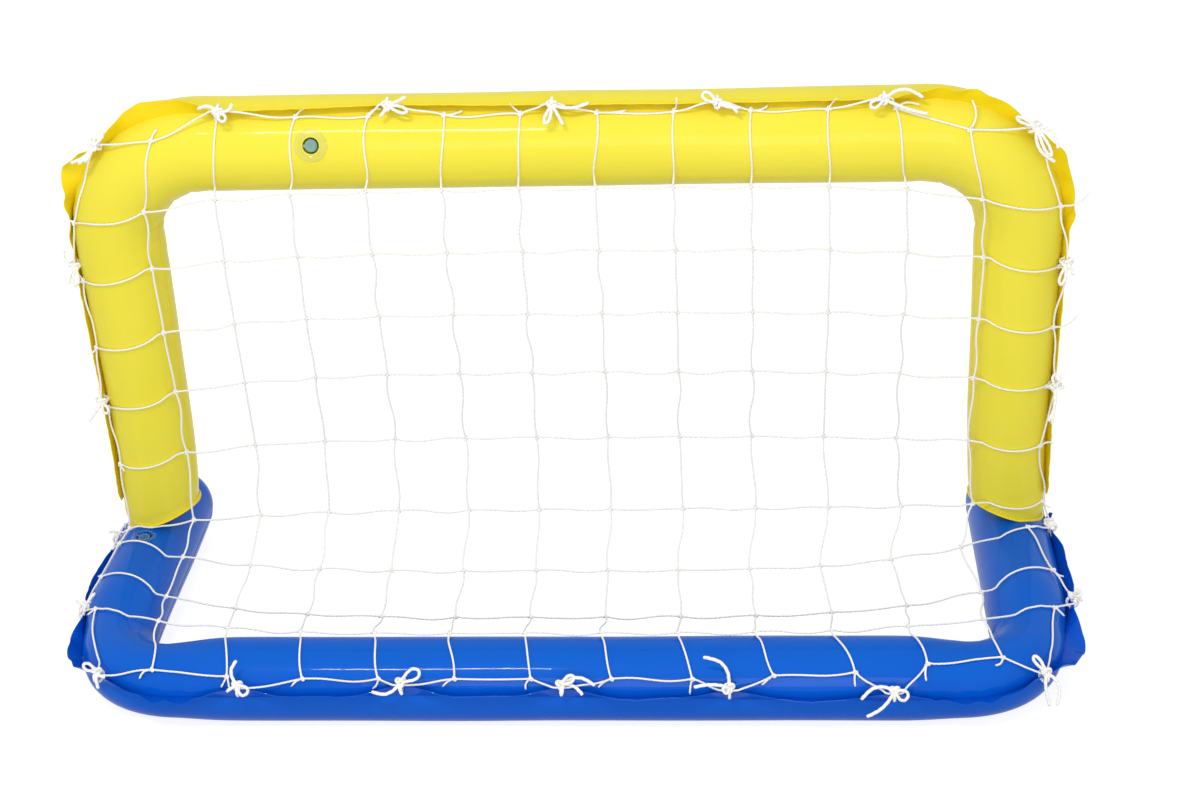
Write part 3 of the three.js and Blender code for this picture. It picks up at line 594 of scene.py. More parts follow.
def footPlace(side, angle):  # where the post's film meets the side tube, or its own tilted end
    low, high = upper["halfLength"] - footShape["search"], upper["halfLength"]
    endHeight = footShape["endHeight"] - footShape["endTilt"] * cos(radians(angle))
    for _ in range(footShape["searchSteps"]):
        middle = (low + high) / 2
        point = surfacePoint(upper, side * middle, angle)
        outside = (point - tubeAxisPoint(point)).length > baseRadius + fitGap and point.z > endHeight
        low, high = (middle, high) if outside else (low, middle)
    return low


def makeUpperChamber():
    start = upper["halfLength"] - footShape["blend"]
    body = evenPlaces(-start, start, filmShape["ringStep"])
    shape = filmShape["upper"]
    ends = {side: [footPlace(side, angle) for angle in ringAngles] for side in (-1, 1)}

    def footRings(side):
        rings, foot = [], footShape
        for row in range(1, foot["rings"] + 1):
            share = row / foot["rings"]
            ring = []
            for angle, end in zip(ringAngles, ends[side]):
                place = between(start, end, share)
                lift = filmLift(upper, shape, side * place, angle) * (1 - share)
                lift -= foot["crease"] * bump(end - place, foot["creaseFromTube"], foot["creaseReach"])
                ring.append(surfacePoint(upper, side * place, angle, lift))
            rings.append(ring)
        rim = rings[-1]
        middle = sum(rim, Vector()) / len(rim)
        for row in range(1, foot["capRings"] + 1):
            share = row / (foot["capRings"] + 1)
            rings.append([keptOffTube(point.lerp(middle, share), fitGap) for point in rim])
        return rings

    bodyRings = [[filmPoint(upper, shape, place, angle) for angle in ringAngles] for place in body]
    rings = list(reversed(footRings(-1))) + bodyRings + footRings(1)
    return addSolid("upperAirChamber", loftRings(rings), yellowFilm, "yellow_film",
                    "upper_air_chamber"), ends


baseChamber = makeBaseChamber()
upperChamber, footEnds = makeUpperChamber()
for chamberPiece, valve in ((baseChamber, baseValve), (upperChamber, upperValve)):
    bottom = valve["middle"] - valve["out"] * (valveSizes["stemLength"] + valveSizes["pocketSpare"])
    top = valve["middle"] + valve["out"] * valveSizes["cutAbove"]
    cutWith(chamberPiece, [rodCutter(bottom, top, valveSizes["pocket"] / 2)])
    smoothBelow(chamberPiece, 40)
print("air chambers made")


# Foot welds: a thin lip of film that laps from each post onto its side tube
lipSizes = {
    "width": 3 * mm, "thick": 0.8 * mm, "climb": 3.2 * mm, "waver": 0.5 * mm, "waverTurn": 0.09,
    "edgeRound": 0.4 * mm, "kneeReach": 1.4 * mm, "kneeRise": 1.4, "climbLift": 0.5 * mm,
    "hemLift": 0.05 * mm, "footLift": 0.1 * mm,
}


def makeFootWeld(side, name, node):
    ends, sizes = footEnds[side], lipSizes
    ring = [surfacePoint(upper, side * place, angle) for angle, place in zip(ringAngles, ends)]
    middle = sum(ring, Vector()) / len(ring)
    sections = []
    for angle, place, foot in zip(ringAngles, ends, ring):
        away = foot - middle
        normal = (foot - tubeAxisPoint(foot)).normalized()
        away = (away - normal * away.dot(normal)).normalized()
        width = sizes["width"] + sizes["waver"] * sin(angle * sizes["waverTurn"] + side)
        edge = keptOffTube(foot + away * width, fitGap)
        thick, rise = sizes["thick"], sizes["thick"] * sizes["kneeRise"]
        edgeTop = keptOffTube(foot + away * (width - sizes["edgeRound"]) + normal * thick, fitGap + thick)
        knee = keptOffTube(foot + away * sizes["kneeReach"] + normal * rise, fitGap + rise)
        climb, hem = (surfacePoint(upper, side * (place - sizes["climb"]), angle, sizes[lift])
                      for lift in ("climbLift", "hemLift"))
        sections.append([foot + normal * sizes["footLift"], edge, edgeTop, knee, climb, hem])
    addSolid(name, loftRings(sections, closed=True), yellowWeld, "yellow_weld", node)


makeFootWeld(-1, "leftFootWeld", "left_foot_weld")
makeFootWeld(1, "rightFootWeld", "right_foot_weld")

# Inner weld seams: a narrow raised line on the mouth side of each tube
seamLook = {
    "width": 3 * mm, "height": 0.6 * mm, "step": 4 * mm, "upperEndGap": 0.118,
    "section": ((-1, 0.05), (-0.8, 0.7), (0, 1), (0.8, 0.7), (1, 0.05), (0, -0.4)),
}


def makeInnerSeam(name, chamber, shape, endGap, material, slotName, node):
    last = chamber["halfLength"] - endGap
    sections = []
    for place in evenPlaces(-last, last, seamLook["step"]):
        radius = station(chamber, place)[3]
        half = degrees(seamLook["width"] / 2 / radius)
        section = []
        for side, high in seamLook["section"]:
            angle = shape["seamAngle"] + side * half
            section.append(filmPoint(chamber, shape, place, angle, high * seamLook["height"]))
        sections.append(section)
    addSolid(name, loftRings(sections), material, slotName, node)


makeInnerSeam("upperInnerSeam", upper, filmShape["upper"], seamLook["upperEndGap"], yellowWeld,
              "yellow_weld", "upper_inner_seam")
makeInnerSeam("baseInnerSeam", base, filmShape["base"], goalSizes["baseEnd"], blueWeld, "blue_weld",
              "base_inner_seam")
print("welds made")

# Outer flanges: doubled film along the outer weld, drawn to the net's side by the ties
flangeSizes = {
    "width": 20 * mm, "thick": 1.2 * mm, "wave": 118 * mm, "step": 3 * mm, "columns": 8,
    "hole": 7.8 * mm, "holeInset": 8 * mm, "edgeGap": 1.6 * mm,
    "crinkleLength": 31 * mm, "roughEdge": 1.3 * mm,
    "wander": 24, "edgeScale": 60, "widthScale": 16, "widthChange": 0.10,
    "looseOnBars": 0.1, "looseAtTies": 0.3, "phaseWander": 5, "bendPower": 1.7,
    "endReach": 0.03, "endWidth": 0.25, "cutReach": 8 * mm, "holeSides": 20,
}
upperFlange.update({
    "shape": filmShape["upper"], "endGap": 0.095, "pullReach": 30 * mm,
    "ruffle": (0.3 * mm, 2.0 * mm), "crinkle": 3.0 * mm,
    "spans": [(-1.10, 90), (-0.76, 88), (-0.69, 92), (-0.655, 88), (-0.635, 60), (-0.618, 2), (-0.58, 0),
              (-0.49, 4), (-0.42, 62), (0.42, 62), (0.49, 26), (0.54, 18), (0.60, 10), (0.62, 20),
              (0.635, 44), (0.66, 56), (0.685, 80), (0.78, 84), (1.10, 84)],
    "folds": [(-0.615, 10 * mm, 2 * mm, 6 * mm), (-0.525, 8 * mm, -4 * mm, 2 * mm),
              (0.612, 9 * mm, 3 * mm, 5 * mm), (0.520, 6 * mm, -3 * mm, 1 * mm)],
})
baseFlange.update({
    "shape": filmShape["base"], "endGap": 0.135, "pullReach": 45 * mm,
    "ruffle": (1.6 * mm, 3.0 * mm), "crinkle": 3.2 * mm,
    "spans": [(-1.10, 62), (-0.80, 60), (-0.73, 40), (-0.68, 22), (-0.62, 20), (-0.56, 12),
              (-0.50, 10), (-0.45, 27), (0.45, 27), (0.50, 12), (0.56, 4), (0.60, -14), (0.64, -20),
              (0.70, -4), (0.76, 30), (0.82, 58), (1.10, 62)],
    "folds": [(0.630, 14 * mm, 3 * mm, 6 * mm), (0.680, 18 * mm, -3 * mm, 7 * mm),
              (-0.660, 10 * mm, 4 * mm, 3 * mm), (-0.540, 12 * mm, -4 * mm, 2 * mm)],
})


def slackAt(flange, place):  # 0 at a tie, 1 well away from one
    nearest = min(abs(place - tie) for tie in flange["ties"])
    return 1 - exp(-((2 * nearest / flangeSizes["wave"]) ** 2))


def lieAt(flange, place):
    lie = float(np.interp(place, *zip(*flange["spans"])))
    for tie, pulled in zip(flange["ties"], flange["lies"]):
        lie += (pulled - lie) * bump(place, tie, flange["pullReach"])
    return lie


def flangeFrame(flange, place):
    chamber = flange["chamber"]
    centre, outward, along, radius = station(chamber, place)
    root = surfacePoint(chamber, place, rootAt(flange, place), 2 * fitGap)
    lie = lieAt(flange, place)
    ruffle = between(*flange["ruffle"], nearCorner(chamber, place, "bent")) * slackAt(flange, place)
    ruffle *= sin(tau * place / flangeSizes["wave"])
    normal = directionAt(chamber, outward, lie + 90)
    out = (directionAt(chamber, outward, lie) + normal * (ruffle / flangeSizes["width"])).normalized()
    return root, out, normal, along


def flangePoint(flange, place, share):
    chamber, shape = flange["chamber"], flange["shape"]
    root, out, normal, along = flangeFrame(flange, place)
    sizes = flangeSizes

    def noiseAt(scale, row):
        return noise.noise(Vector((place * sizes[scale], row, shape["seed"])))

    loose = sizes["looseOnBars"] + (1 - sizes["looseOnBars"]) * nearCorner(chamber, place, "bent")
    loose *= sizes["looseAtTies"] + (1 - sizes["looseAtTies"]) * slackAt(flange, place)
    phase = tau * place / sizes["crinkleLength"] + sizes["phaseWander"] * noiseAt("wander", 0.3)
    sideways = flange["crinkle"] * loose * sin(phase)
    sideways += sizes["roughEdge"] * loose * noiseAt("edgeScale", 1.7)
    width = sizes["width"] * (1 + sizes["widthChange"] * noiseAt("widthScale", 4.1))
    for middle, reach, push, grow in flange["folds"]:
        near = bump(place, middle, reach)
        sideways += push * near
        width += grow * near
    foot = filmPoint(chamber, shape, place, rootAt(flange, place), 0.05 * mm)
    plain = root.lerp(foot, 1 - share) + out * (share * width)
    return plain + normal * (sideways * share ** sizes["bendPower"])


def makeFlange(name, flange, material, slotName, node):
    last = flange["chamber"]["halfLength"] - flange["endGap"]
    places = evenPlaces(-last, last, flangeSizes["step"])
    shares = [column / flangeSizes["columns"] for column in range(flangeSizes["columns"] + 1)]
    rings = []
    for place in places:
        normal = flangeFrame(flange, place)[2]
        fade = min(1.0, sqrt((last - abs(place)) / flangeSizes["endReach"] + flangeSizes["endWidth"]))
        line = [flangePoint(flange, place, share * fade) for share in shares]
        back = [p - normal * flangeSizes["thick"] for p in reversed(line)]
        rings.append(line + back)
    made = addSolid(name, loftRings(rings), material, slotName, node)
    cutters = []
    for tie in flange["ties"]:
        held = tieFrame(flange, tie)
        reach = held["normal"] * flangeSizes["cutReach"]
        cutters.append(rodCutter(held["hole"] - reach, held["hole"] + reach, flangeSizes["hole"] / 2,
                                 flangeSizes["holeSides"]))
    cutWith(made, cutters)
    smoothBelow(made, 50)


netSizes = {
    "cord": 2.7 * mm, "standoff": 3.7 * mm, "columns": 14, "rows": 11, "spacing": 0.100,
    "sample": 9 * mm, "step": 3 * mm, "sides": 8, "knot": 3.3 * mm, "knotSteps": 30,
    "knotCord": 0.44, "knotSides": 6, "borderReach": 0.060, "heldShare": 1.5,
}
tieSizes = {"cord": 4.4 * mm, "knot": 6.6 * mm, "knotAngle": 10, "step": 2.2 * mm, "sides": 12}
netCordRadius = 1.5 * mm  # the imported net's
lastColumn, lastRow = netSizes["columns"] - 1, netSizes["rows"] - 1


def tieFrame(flange, place):
    root, out, normal, along = flangeFrame(flange, place)
    sizes = flangeSizes
    hole = root + out * (sizes["width"] - sizes["holeInset"]) - normal * sizes["thick"] / 2
    held = hole + out * (sizes["holeInset"] + sizes["edgeGap"] + netCordRadius)
    return {"out": out, "normal": normal, "along": along, "hole": hole, "held": held}


makeFlange("upperOuterFlange", upperFlange, yellowWeld, "yellow_weld", "upper_outer_flange")
makeFlange("baseOuterFlange", baseFlange, blueWeld, "blue_weld", "base_outer_flange")
print("flanges made")

# Cords keep off the tubes
tubeLines = []
for chamber in (upper, base):
    reach = chamber["halfLength"] - goalSizes["baseEnd"] / 2
    stops = [station(chamber, place) for place in evenPlaces(-reach, reach, 8 * mm)]
    tubeLines.append({
        "centre": np.array([s[0] for s in stops]), "along": [s[2] for s in stops],
        "radius": [s[3] for s in stops],
    })


def pushedOut(point, clearance):
    moved = Vector(point)
    for _ in range(3):
        for line in tubeLines:
            near = int(((line["centre"] - np.array(moved)) ** 2).sum(1).argmin())
            offset = moved - Vector(line["centre"][near])
            offset -= line["along"][near] * offset.dot(line["along"][near])
            short = line["radius"][near] + clearance - offset.length
            if short > 0:
                moved += offset.normalized() * short
    return moved


def smoothPath(points, step, closed=False):  # a curve through the points, evenly stepped
    knots = np.array([tuple(p) for p in points])
    if closed:
        knots = np.vstack([knots[-1:], knots, knots[:2]])
    else:
        knots = np.vstack([2 * knots[0] - knots[1], knots, 2 * knots[-1] - knots[-2]])
    line = []
    for i in range(1, len(knots) - 2):
        p0, p1, p2, p3 = knots[i - 1:i + 3]
        count = max(int(round(np.linalg.norm(p2 - p1) / step)), 1)
        t = (np.arange(count) / count)[:, None]
        line.append(0.5 * (2 * p1 + (p2 - p0) * t + (2 * p0 - 5 * p1 + 4 * p2 - p3) * t ** 2
                           + (3 * p1 - p0 - 3 * p2 + p3) * t ** 3))
    if not closed:
        line.append(knots[-2][None, :])
    return np.vstack(line)


class CordMesh:  # gathers cord tubes into one mesh
    def __init__(self):
        self.points, self.faces, self.uvs, self.count = [], [], [], 0

    def tube(self, line, radius, sides, closed=False, lobes=0.0, lobeTurn=0.0):
        line = np.asarray(line, float)
        ahead = np.roll(line, -1, 0) - np.roll(line, 1, 0)
        if not closed:
            ahead[0], ahead[-1] = line[1] - line[0], line[-1] - line[-2]
        ahead /= np.maximum(np.linalg.norm(ahead, axis=1), 1e-9)[:, None]
        side = np.cross(ahead[0], (0.3, 0.5, 0.81))
        side /= np.linalg.norm(side)
        run = 0.0
        turns = np.arange(sides + 1) / sides
        rings = len(line)
        for i in range(rings):
            side = side - ahead[i] * side.dot(ahead[i])
            side /= np.linalg.norm(side)
            second = np.cross(ahead[i], side)
            if i:
                run += np.linalg.norm(line[i] - line[i - 1])
            around = turns * tau
            swell = 1 + lobes * np.cos(3 * around - lobeTurn * run)
            narrow = 0.72 if not closed and i in (0, rings - 1) else 1.0
            ring = line[i] + (np.outer(np.cos(around), side) + np.outer(np.sin(around), second)) \
                * (radius * narrow * swell)[:, None]
            self.points.append(ring)
            self.uvs.append(np.column_stack([turns, np.full(sides + 1, run)]))
        width = sides + 1
        last = rings if closed else rings - 1
        for i in range(last):
            here, following = self.count + i * width, self.count + (i + 1) % rings * width
            for k in range(sides):
                self.faces.append((here + k, here + k + 1, following + k + 1, following + k))
        self.count += rings * width
        if not closed:
            for end, turned in ((0, True), (rings - 1, False)):
                start = self.count - rings * width + end * width
                ring = list(range(start, start + sides))
                self.faces.append(tuple(reversed(ring)) if turned else tuple(ring))

    def make(self, name, material, slotName, nodes):
        return addMesh(name, np.vstack(self.points), self.faces, material, slotName, "goal", nodes,
                       np.vstack(self.uvs), 180)


def knotLine(centre, first, second, third, size, steps):  # a small overhand lump
    line = []
    for i in range(steps):
        t = tau * i / steps
        x = sin(t) + 2 * sin(2 * t)
        y = cos(t) - 2 * cos(2 * t)
        flat = centre + (first * x + second * y) * (size / 3)
        line.append(flat - third * sin(3 * t) * (size * 0.42))
    return np.array([tuple(p) for p in line])


# Net: knots on both chambers, and a slack middle that hangs between them
netShape = {
    "topAngle": 32, "cornerAngle": 60, "sidePull": 4,
    "topShifts": [(1, 30), (2, 4), (3, 8), (4, 4), (10, 3), (11, -10), (12, -29)],  # column, mm right
    "frontShifts": [(1, 8), (6, 11), (10, 34), (11, 28), (12, 20)],
    "frontAngles": [(1, 46), (2, 34), (3, 31), (8, 30), (10, 38), (11, 50), (12, 58)],
    "posts": {  # height and angle of each knot on a post
        -1: [(0.607, 36), (0.528, 37), (0.419, 36), (0.320, 38), (0.224, 42)],
        1: [(0.612, 36), (0.532, 35), (0.438, 37), (0.344, 41), (0.246, 46), (0.142, 34)],
    },
    "sideTubes": {  # setback and angle of each knot on a side tube
        -1: [(0.338, 62), (0.300, 54), (0.208, 47), (0.120, 54)],
        1: [(0.318, 76), (0.212, 50), (0.120, 50)],
    },
    "hangSetbacks": [0.222, 0.244, 0.266, 0.290, 0.312, 0.300, 0.212, 0.112, 0.015],
    "hangHeights": [0.666, 0.569, 0.470, 0.372, 0.262, 0.154, 0.103, 0.085, 0.116],
    "sag": 2.6 * mm, "bend": 2.2 * mm, "sagDraw": (0.3, 1.2), "strandLength": 0.1, "longest": 1.4,
    "lyingSag": 0.2, "uprightBend": 1.3, "slackBend": 2.6, "slackFrom": 6,  # the outer columns' lower rows
}


def sideKnot(side, row):
    places = [(upper, postPlace(height), angle) for height, angle in netShape["posts"][side]]
    places += [(base, sidePlace(setback), angle) for setback, angle in netShape["sideTubes"][side]]
    chamber, place, angle = places[row - 1]
    return surfacePoint(chamber, side * place, angle, netSizes["standoff"])


def byColumn(name, column):
    return float(np.interp(column, *zip(*netShape[name])))


def knotAt(row, column):
    share = 2 * column / lastColumn - 1
    side = -1 if share < 0 else 1
    atSide = column in (0, lastColumn)
    if atSide and row in (0, lastRow):
        flange = baseFlange if row else upperFlange
        return tieFrame(flange, flange["ties"][2 if side < 0 else 8])["held"]
    barPlace = netSizes["spacing"] * (column - lastColumn / 2)
    if row == 0:
        turned = (abs(barPlace) - upper["flat"]) / (upper["turn"] / 2)
        angle = between(netShape["topAngle"], netShape["cornerAngle"], turned)
        shift = byColumn("topShifts", column) * mm
        return surfacePoint(upper, barPlace + shift, angle, netSizes["standoff"])
    if row == lastRow:
        shift = byColumn("frontShifts", column) * mm
        return surfacePoint(base, barPlace + shift, byColumn("frontAngles", column), netSizes["standoff"])
    edge = sideKnot(side, row)
    if atSide:
        return edge
    pull = abs(share) ** netShape["sidePull"]
    hung = Vector((share * abs(edge.x), between(netShape["hangSetbacks"][row - 1], edge.y, pull),
                   between(netShape["hangHeights"][row - 1], edge.z, pull)))
    return pushedOut(hung, netSizes["standoff"])


knots = [[knotAt(row, column) for column in range(netSizes["columns"])] for row in range(netSizes["rows"])]


def heldPoints(first, end, *flanges):  # where a border strand runs through these ties
    found = []
    for flange in flanges:
        for place in flange["ties"][first:end]:
            tie = tieFrame(flange, place)
            found += [tie["held"] + tie["along"] * side * tieSizes["knot"] * netSizes["heldShare"]
                      for side in (-1, 0, 1)]
    return found


def borderStops(start, end, held):  # the ties that a border strand runs through between two knots
    span = end - start
    inside = []
    for point in held:
        share = (point - start).dot(span) / span.length_squared
        if 0 < share < 1 and (point - start.lerp(end, share)).length < netSizes["borderReach"]:
            inside.append((share, point))
    return [start] + [point for share, point in sorted(inside, key=lambda pair: pair[0])] + [end]


def strandPoints(stops, draw, hanging, bendScale):  # slack between knots, with a small bend at each
    points = [stops[0]]
    for start, end in zip(stops, stops[1:]):
        length = (end - start).length
        count = max(int(round(length / netSizes["sample"])), 1)
        sideways = (end - start).cross(viewUp if hanging else viewRight).cross(end - start).normalized()
        scale = min(length / netShape["strandLength"], netShape["longest"])
        bend = netShape["bend"] * draw.uniform(-1, 1) * scale * bendScale
        sag = netShape["sag"] * draw.uniform(*netShape["sagDraw"]) * scale
        for i in range(1, count):
            t = i / count
            point = start.lerp(end, t) + sideways * bend * sin(tau * t)
            point.z -= sag * sin(pi * t) * (1.0 if hanging else netShape["lyingSag"])
            points.append(pushedOut(point, netSizes["standoff"] - 1 * mm))
        points.append(end)
    return points


def strand(line, held, draw, hanging, bends):  # one cord of the net, from knot to knot
    points = [line[0]]
    for start, end, bendScale in zip(line, line[1:], bends):
        points += strandPoints(borderStops(start, end, held), draw, hanging, bendScale)[1:]
    return points


def makeNet():
    draw = random.Random(41)
    cords = CordMesh()
    heldRows = {0: heldPoints(3, 8, upperFlange), lastRow: heldPoints(3, 8, baseFlange)}
    heldColumns = {0: heldPoints(0, 2, upperFlange, baseFlange),
                   lastColumn: heldPoints(9, 11, upperFlange, baseFlange)}
    lines = [strand(line, heldRows.get(row, []), draw, True, [1.0] * lastColumn)
             for row, line in enumerate(knots)]
    for column in range(netSizes["columns"]):
        bends = [netShape["uprightBend"]] * lastRow
        if column in (1, lastColumn - 1):
            bends[netShape["slackFrom"]:] = [netShape["slackBend"]] * (lastRow - netShape["slackFrom"])
        line = [row[column] for row in knots]
        lines.append(strand(line, heldColumns.get(column, []), draw, False, bends))
    for points in lines:
        cords.tube(smoothPath(points, netSizes["step"]), netSizes["cord"] / 2, netSizes["sides"])
    for row in range(netSizes["rows"]):
        for column in range(netSizes["columns"]):
            before, after = knots[row][max(column - 1, 0)], knots[row][min(column + 1, lastColumn)]
            first = (after - before).normalized()
            down = knots[min(row + 1, lastRow)][column] - knots[max(row - 1, 0)][column]
            third = first.cross(down).normalized()
            line = knotLine(knots[row][column], first, third.cross(first), third, netSizes["knot"],
                            netSizes["knotSteps"])
            cords.tube(line, netSizes["cord"] * netSizes["knotCord"], netSizes["knotSides"], closed=True)
    addKnotTails(cords, draw)
    cords.make("knottedNet", netCord, "net_cord", ["goal_net"])


# Tail ends of the border knots, in millimetres to the right and up as the photograph shows them
knotTails = {
    "top": [(9, 16), (-8, 15), (14, 12), (17, 9), (24, 5), (-14, 13), (38, 1), (3, 18), (22, 6), (12, 14),
            (30, 2), (2, 38)],
    "front": [(-16, -12), (-7, -14), (-14, -10), (-7, -13), (-15, -10), (-6, -14), (-17, -11), (-3, -20),
              (-15, -12), (0, -18), (-2, -22), (-12, -14)],
    "left": [(-14, 2), (-12, -9), (-12, -9), (-11, 5), (10, -8), (-9, -9), (-10, -10), (8, -9), (-9, -9)],
    "right": [(38, 17), (10, 8), (32, 15), (9, -9), (20, 4), (10, -10), (13, 1), (15, -9), (12, -12)],
}


def inView(across, up):  # millimetres to the right and up, as the photograph shows them
    return (viewRight * across + viewUp * up) * mm


def tailPoints(knot, tail, shares, most, draw):  # out from the knot, with a slight curl
    across, up = tail
    curl = inView(-up, across) * draw.uniform(-most, most)
    return [(share, knot + inView(across, up) * share + curl * sin(pi * share)) for share in shares]


def addKnotTails(cords, draw):
    border = {
        "top": knots[0][1:-1], "front": knots[lastRow][1:-1],
        "left": [line[0] for line in knots[1:-1]], "right": [line[lastColumn] for line in knots[1:-1]],
    }
    ends = [end for name, found in border.items() for end in zip(found, knotTails[name])]
    for knot, tail in ends:
        stops = [pushedOut(point, (3 + 2 * share) * mm)
                 for share, point in tailPoints(knot, tail, (0.0, 0.35, 0.7, 1.0), 0.22, draw)]
        cords.tube(smoothPath(stops, 2.5 * mm), netSizes["cord"] * 0.5, netSizes["sides"])


makeNet()
print("net made")

# Bows: for each tie, its tails and then its loops, in millimetres right and up from the knot. A loop's
# third number is its width
bowLook = {
    "lobes": 0.10, "lobeTurn": 700.0, "clearance": 3.4 * mm, "loopRise": 5 * mm, "cordShare": 0.46,
    "lumpSize": 6.4 * mm, "lumpSteps": 44, "ringSteps": 26, "curl": 0.25, "droop": 3 * mm,
    "toView": 2 * mm, "tailShares": (0.3, 0.6, 0.85, 1.0), "loopTurn": 0.8, "loopSpare": 1 * mm,
    "loopLine": ((0.0, 0.0), (0.3, 0.55), (0.68, 1.0), (0.93, 0.72), (1.03, 0.0),
                 (0.93, -0.72), (0.68, -1.0), (0.3, -0.55)),
}
upperBows = [
    ([(-19, -24), (-4, 27)], [(6, -15, 8)]),
    ([(-16, 25), (-9, -20)], [(1, -24, 7)]),
    ([(-30, -20), (-20, -21), (-12, -19)], [(10, 18, 9)]),
    ([(-26, 7), (19, 14)], [(9, -11, 9)]),
    ([(24, 14), (-10, -12)], [(25, -8, 8)]),
    ([(48, 6), (15, -23)], [(-8, -23, 7)]),
    ([(30, -3), (26, -10)], [(-18, 12, 10)]),
    ([(50, 5), (56, -16)], [(-17, -9, 9)]),
    ([(28, -25), (24, -42)], [(-25, 12, 6), (18, -36, 7)]),
    ([(10, 9), (9, -12)], [(-8, -26, 7)]),
    ([(13, 4), (-9, -44), (-4, -48)], [(3, 18, 11)]),
]
baseBows = [
    ([(23, 18), (-15, 7), (-12, -22)], [(5, -14, 9)]),
    ([(-15, 10), (13, 18)], [(-8, -17, 9)]),
    ([(2, -20), (11, -5)], [(-17, 9, 9)]),
    ([(-1, 35), (-14, -6)], [(12, -11, 12)]),
    ([(-38, -10), (2, -14)], [(23, 14, 14)]),
    ([(28, -11), (0, -12), (44, 1)], [(16, 10, 9)]),
    ([(-34, 42), (-46, 3)], [(-7, -5, 9)]),
    ([(-43, -9), (-36, -31)], [(16, -9, 13)]),
    ([(5, -42), (14, -41)], [(-16, 20, 7)]),
    ([(-8, 8), (12, -4), (1, -13)], [(9, 7, 9)]),
    ([(13, -3), (4, -26)], [(-10, -13, 11)]),
]


def makeBow(name, flange, place, bow, node, draw):
    look, tie = bowLook, tieFrame(flange, place)
    out, normal = tie["out"], tie["normal"]
    ringRadius = (flangeSizes["holeInset"] + flangeSizes["edgeGap"] + 2 * netCordRadius + fitGap
                  + tieSizes["knot"] / 2) / 2
    middle = tie["hole"] + out * ringRadius
    turn = radians(tieSizes["knotAngle"])
    outward = out * cos(turn) + normal * sin(turn)
    knot = middle + outward * ringRadius
    cords = CordMesh()
    twist = {"lobes": look["lobes"], "lobeTurn": look["lobeTurn"]}
    ring = [middle + (out * cos(a) + normal * sin(a)) * ringRadius
            for a in (tau * i / look["ringSteps"] for i in range(look["ringSteps"]))]
    thin = tieSizes["cord"] * look["cordShare"]
    cords.tube(ring, thin, tieSizes["sides"], closed=True, **twist)
    towardView = (cameraLook["place"] - knot).normalized()
    lump = knotLine(knot, viewRight, viewUp, towardView, look["lumpSize"], look["lumpSteps"])
    cords.tube(lump, thin, tieSizes["sides"], closed=True)
    tails, loops = bow
    for tail in tails:
        stops = [knot]
        for share, point in tailPoints(knot, tail, look["tailShares"], look["curl"], draw):
            point = point + upward * -look["droop"] * share ** 2 + towardView * look["toView"]
            stops.append(pushedOut(point, look["clearance"]))
        cords.tube(smoothPath(stops, tieSizes["step"]), tieSizes["cord"] / 2, tieSizes["sides"], **twist)
    for across, up, width in loops:
        reach = inView(across, up)
        beside = inView(-up, across).normalized() * width * mm / 2
        stops = []
        for along, aside in look["loopLine"]:
            rise = look["loopRise"] * sin(pi * min(along, 1.0) * look["loopTurn"])
            point = knot + reach * along + beside * aside + towardView * (rise + look["toView"])
            stops.append(pushedOut(point, look["clearance"] + look["loopSpare"]))
        cords.tube(smoothPath(stops, tieSizes["step"], closed=True), thin, tieSizes["sides"],
                   closed=True, **twist)
    cords.make(name, tieCord, "tie_cord", [node])


bowDraw = random.Random(17)
for sideName, flange, bows in (("upper", upperFlange, upperBows), ("base", baseFlange, baseBows)):
    for index, (place, bow) in enumerate(zip(flange["ties"], bows)):
        makeBow(f"{sideName}Bow{index + 1}", flange, place, bow, f"{sideName}_net_tie_{index + 1}", bowDraw)
print("bows made")


# Valves
def turnedRings(valve, profile, sides=56):
    return [[valvePoint(valve, r * cos(a), r * sin(a), h)
             for a in (tau * k / sides for k in range(sides))] for r, h in profile]


def makeStem(name, valve, body, node):
    v = valveSizes
    bore, stem, rim, flange = v["bore"] / 2, v["stem"] / 2, v["rim"] / 2, v["flange"] / 2
    low = -v["stemLength"]
    soft = 0.35 * mm
    profile = [
        (bore, low), (flange - soft, low), (flange, low + soft), (flange, low + v["wall"] - soft),
        (flange - soft, low + v["wall"]), (stem + soft, low + v["wall"]), (stem, low + v["wall"] + soft),
        (stem, -v["wall"] - soft), (stem + soft, -v["wall"]), (rim - soft, -v["wall"]),
        (rim, -v["wall"] + soft), (rim, -soft), (rim - soft, 0), (rim - 1.2 * mm, 0),
        (rim - 1.5 * mm, -0.3 * mm), (bore + soft, -0.3 * mm), (bore, -0.3 * mm - soft),
        (bore, -9 * mm), (bore + 0.25 * mm, -9.4 * mm), (bore + 0.25 * mm, -10.6 * mm), (bore, -11 * mm),
    ]
    rings = turnedRings(valve, profile)
    addSolid(name, loftRings(rings, closed=True), valveVinyl, "valve_vinyl", node, body, 35)


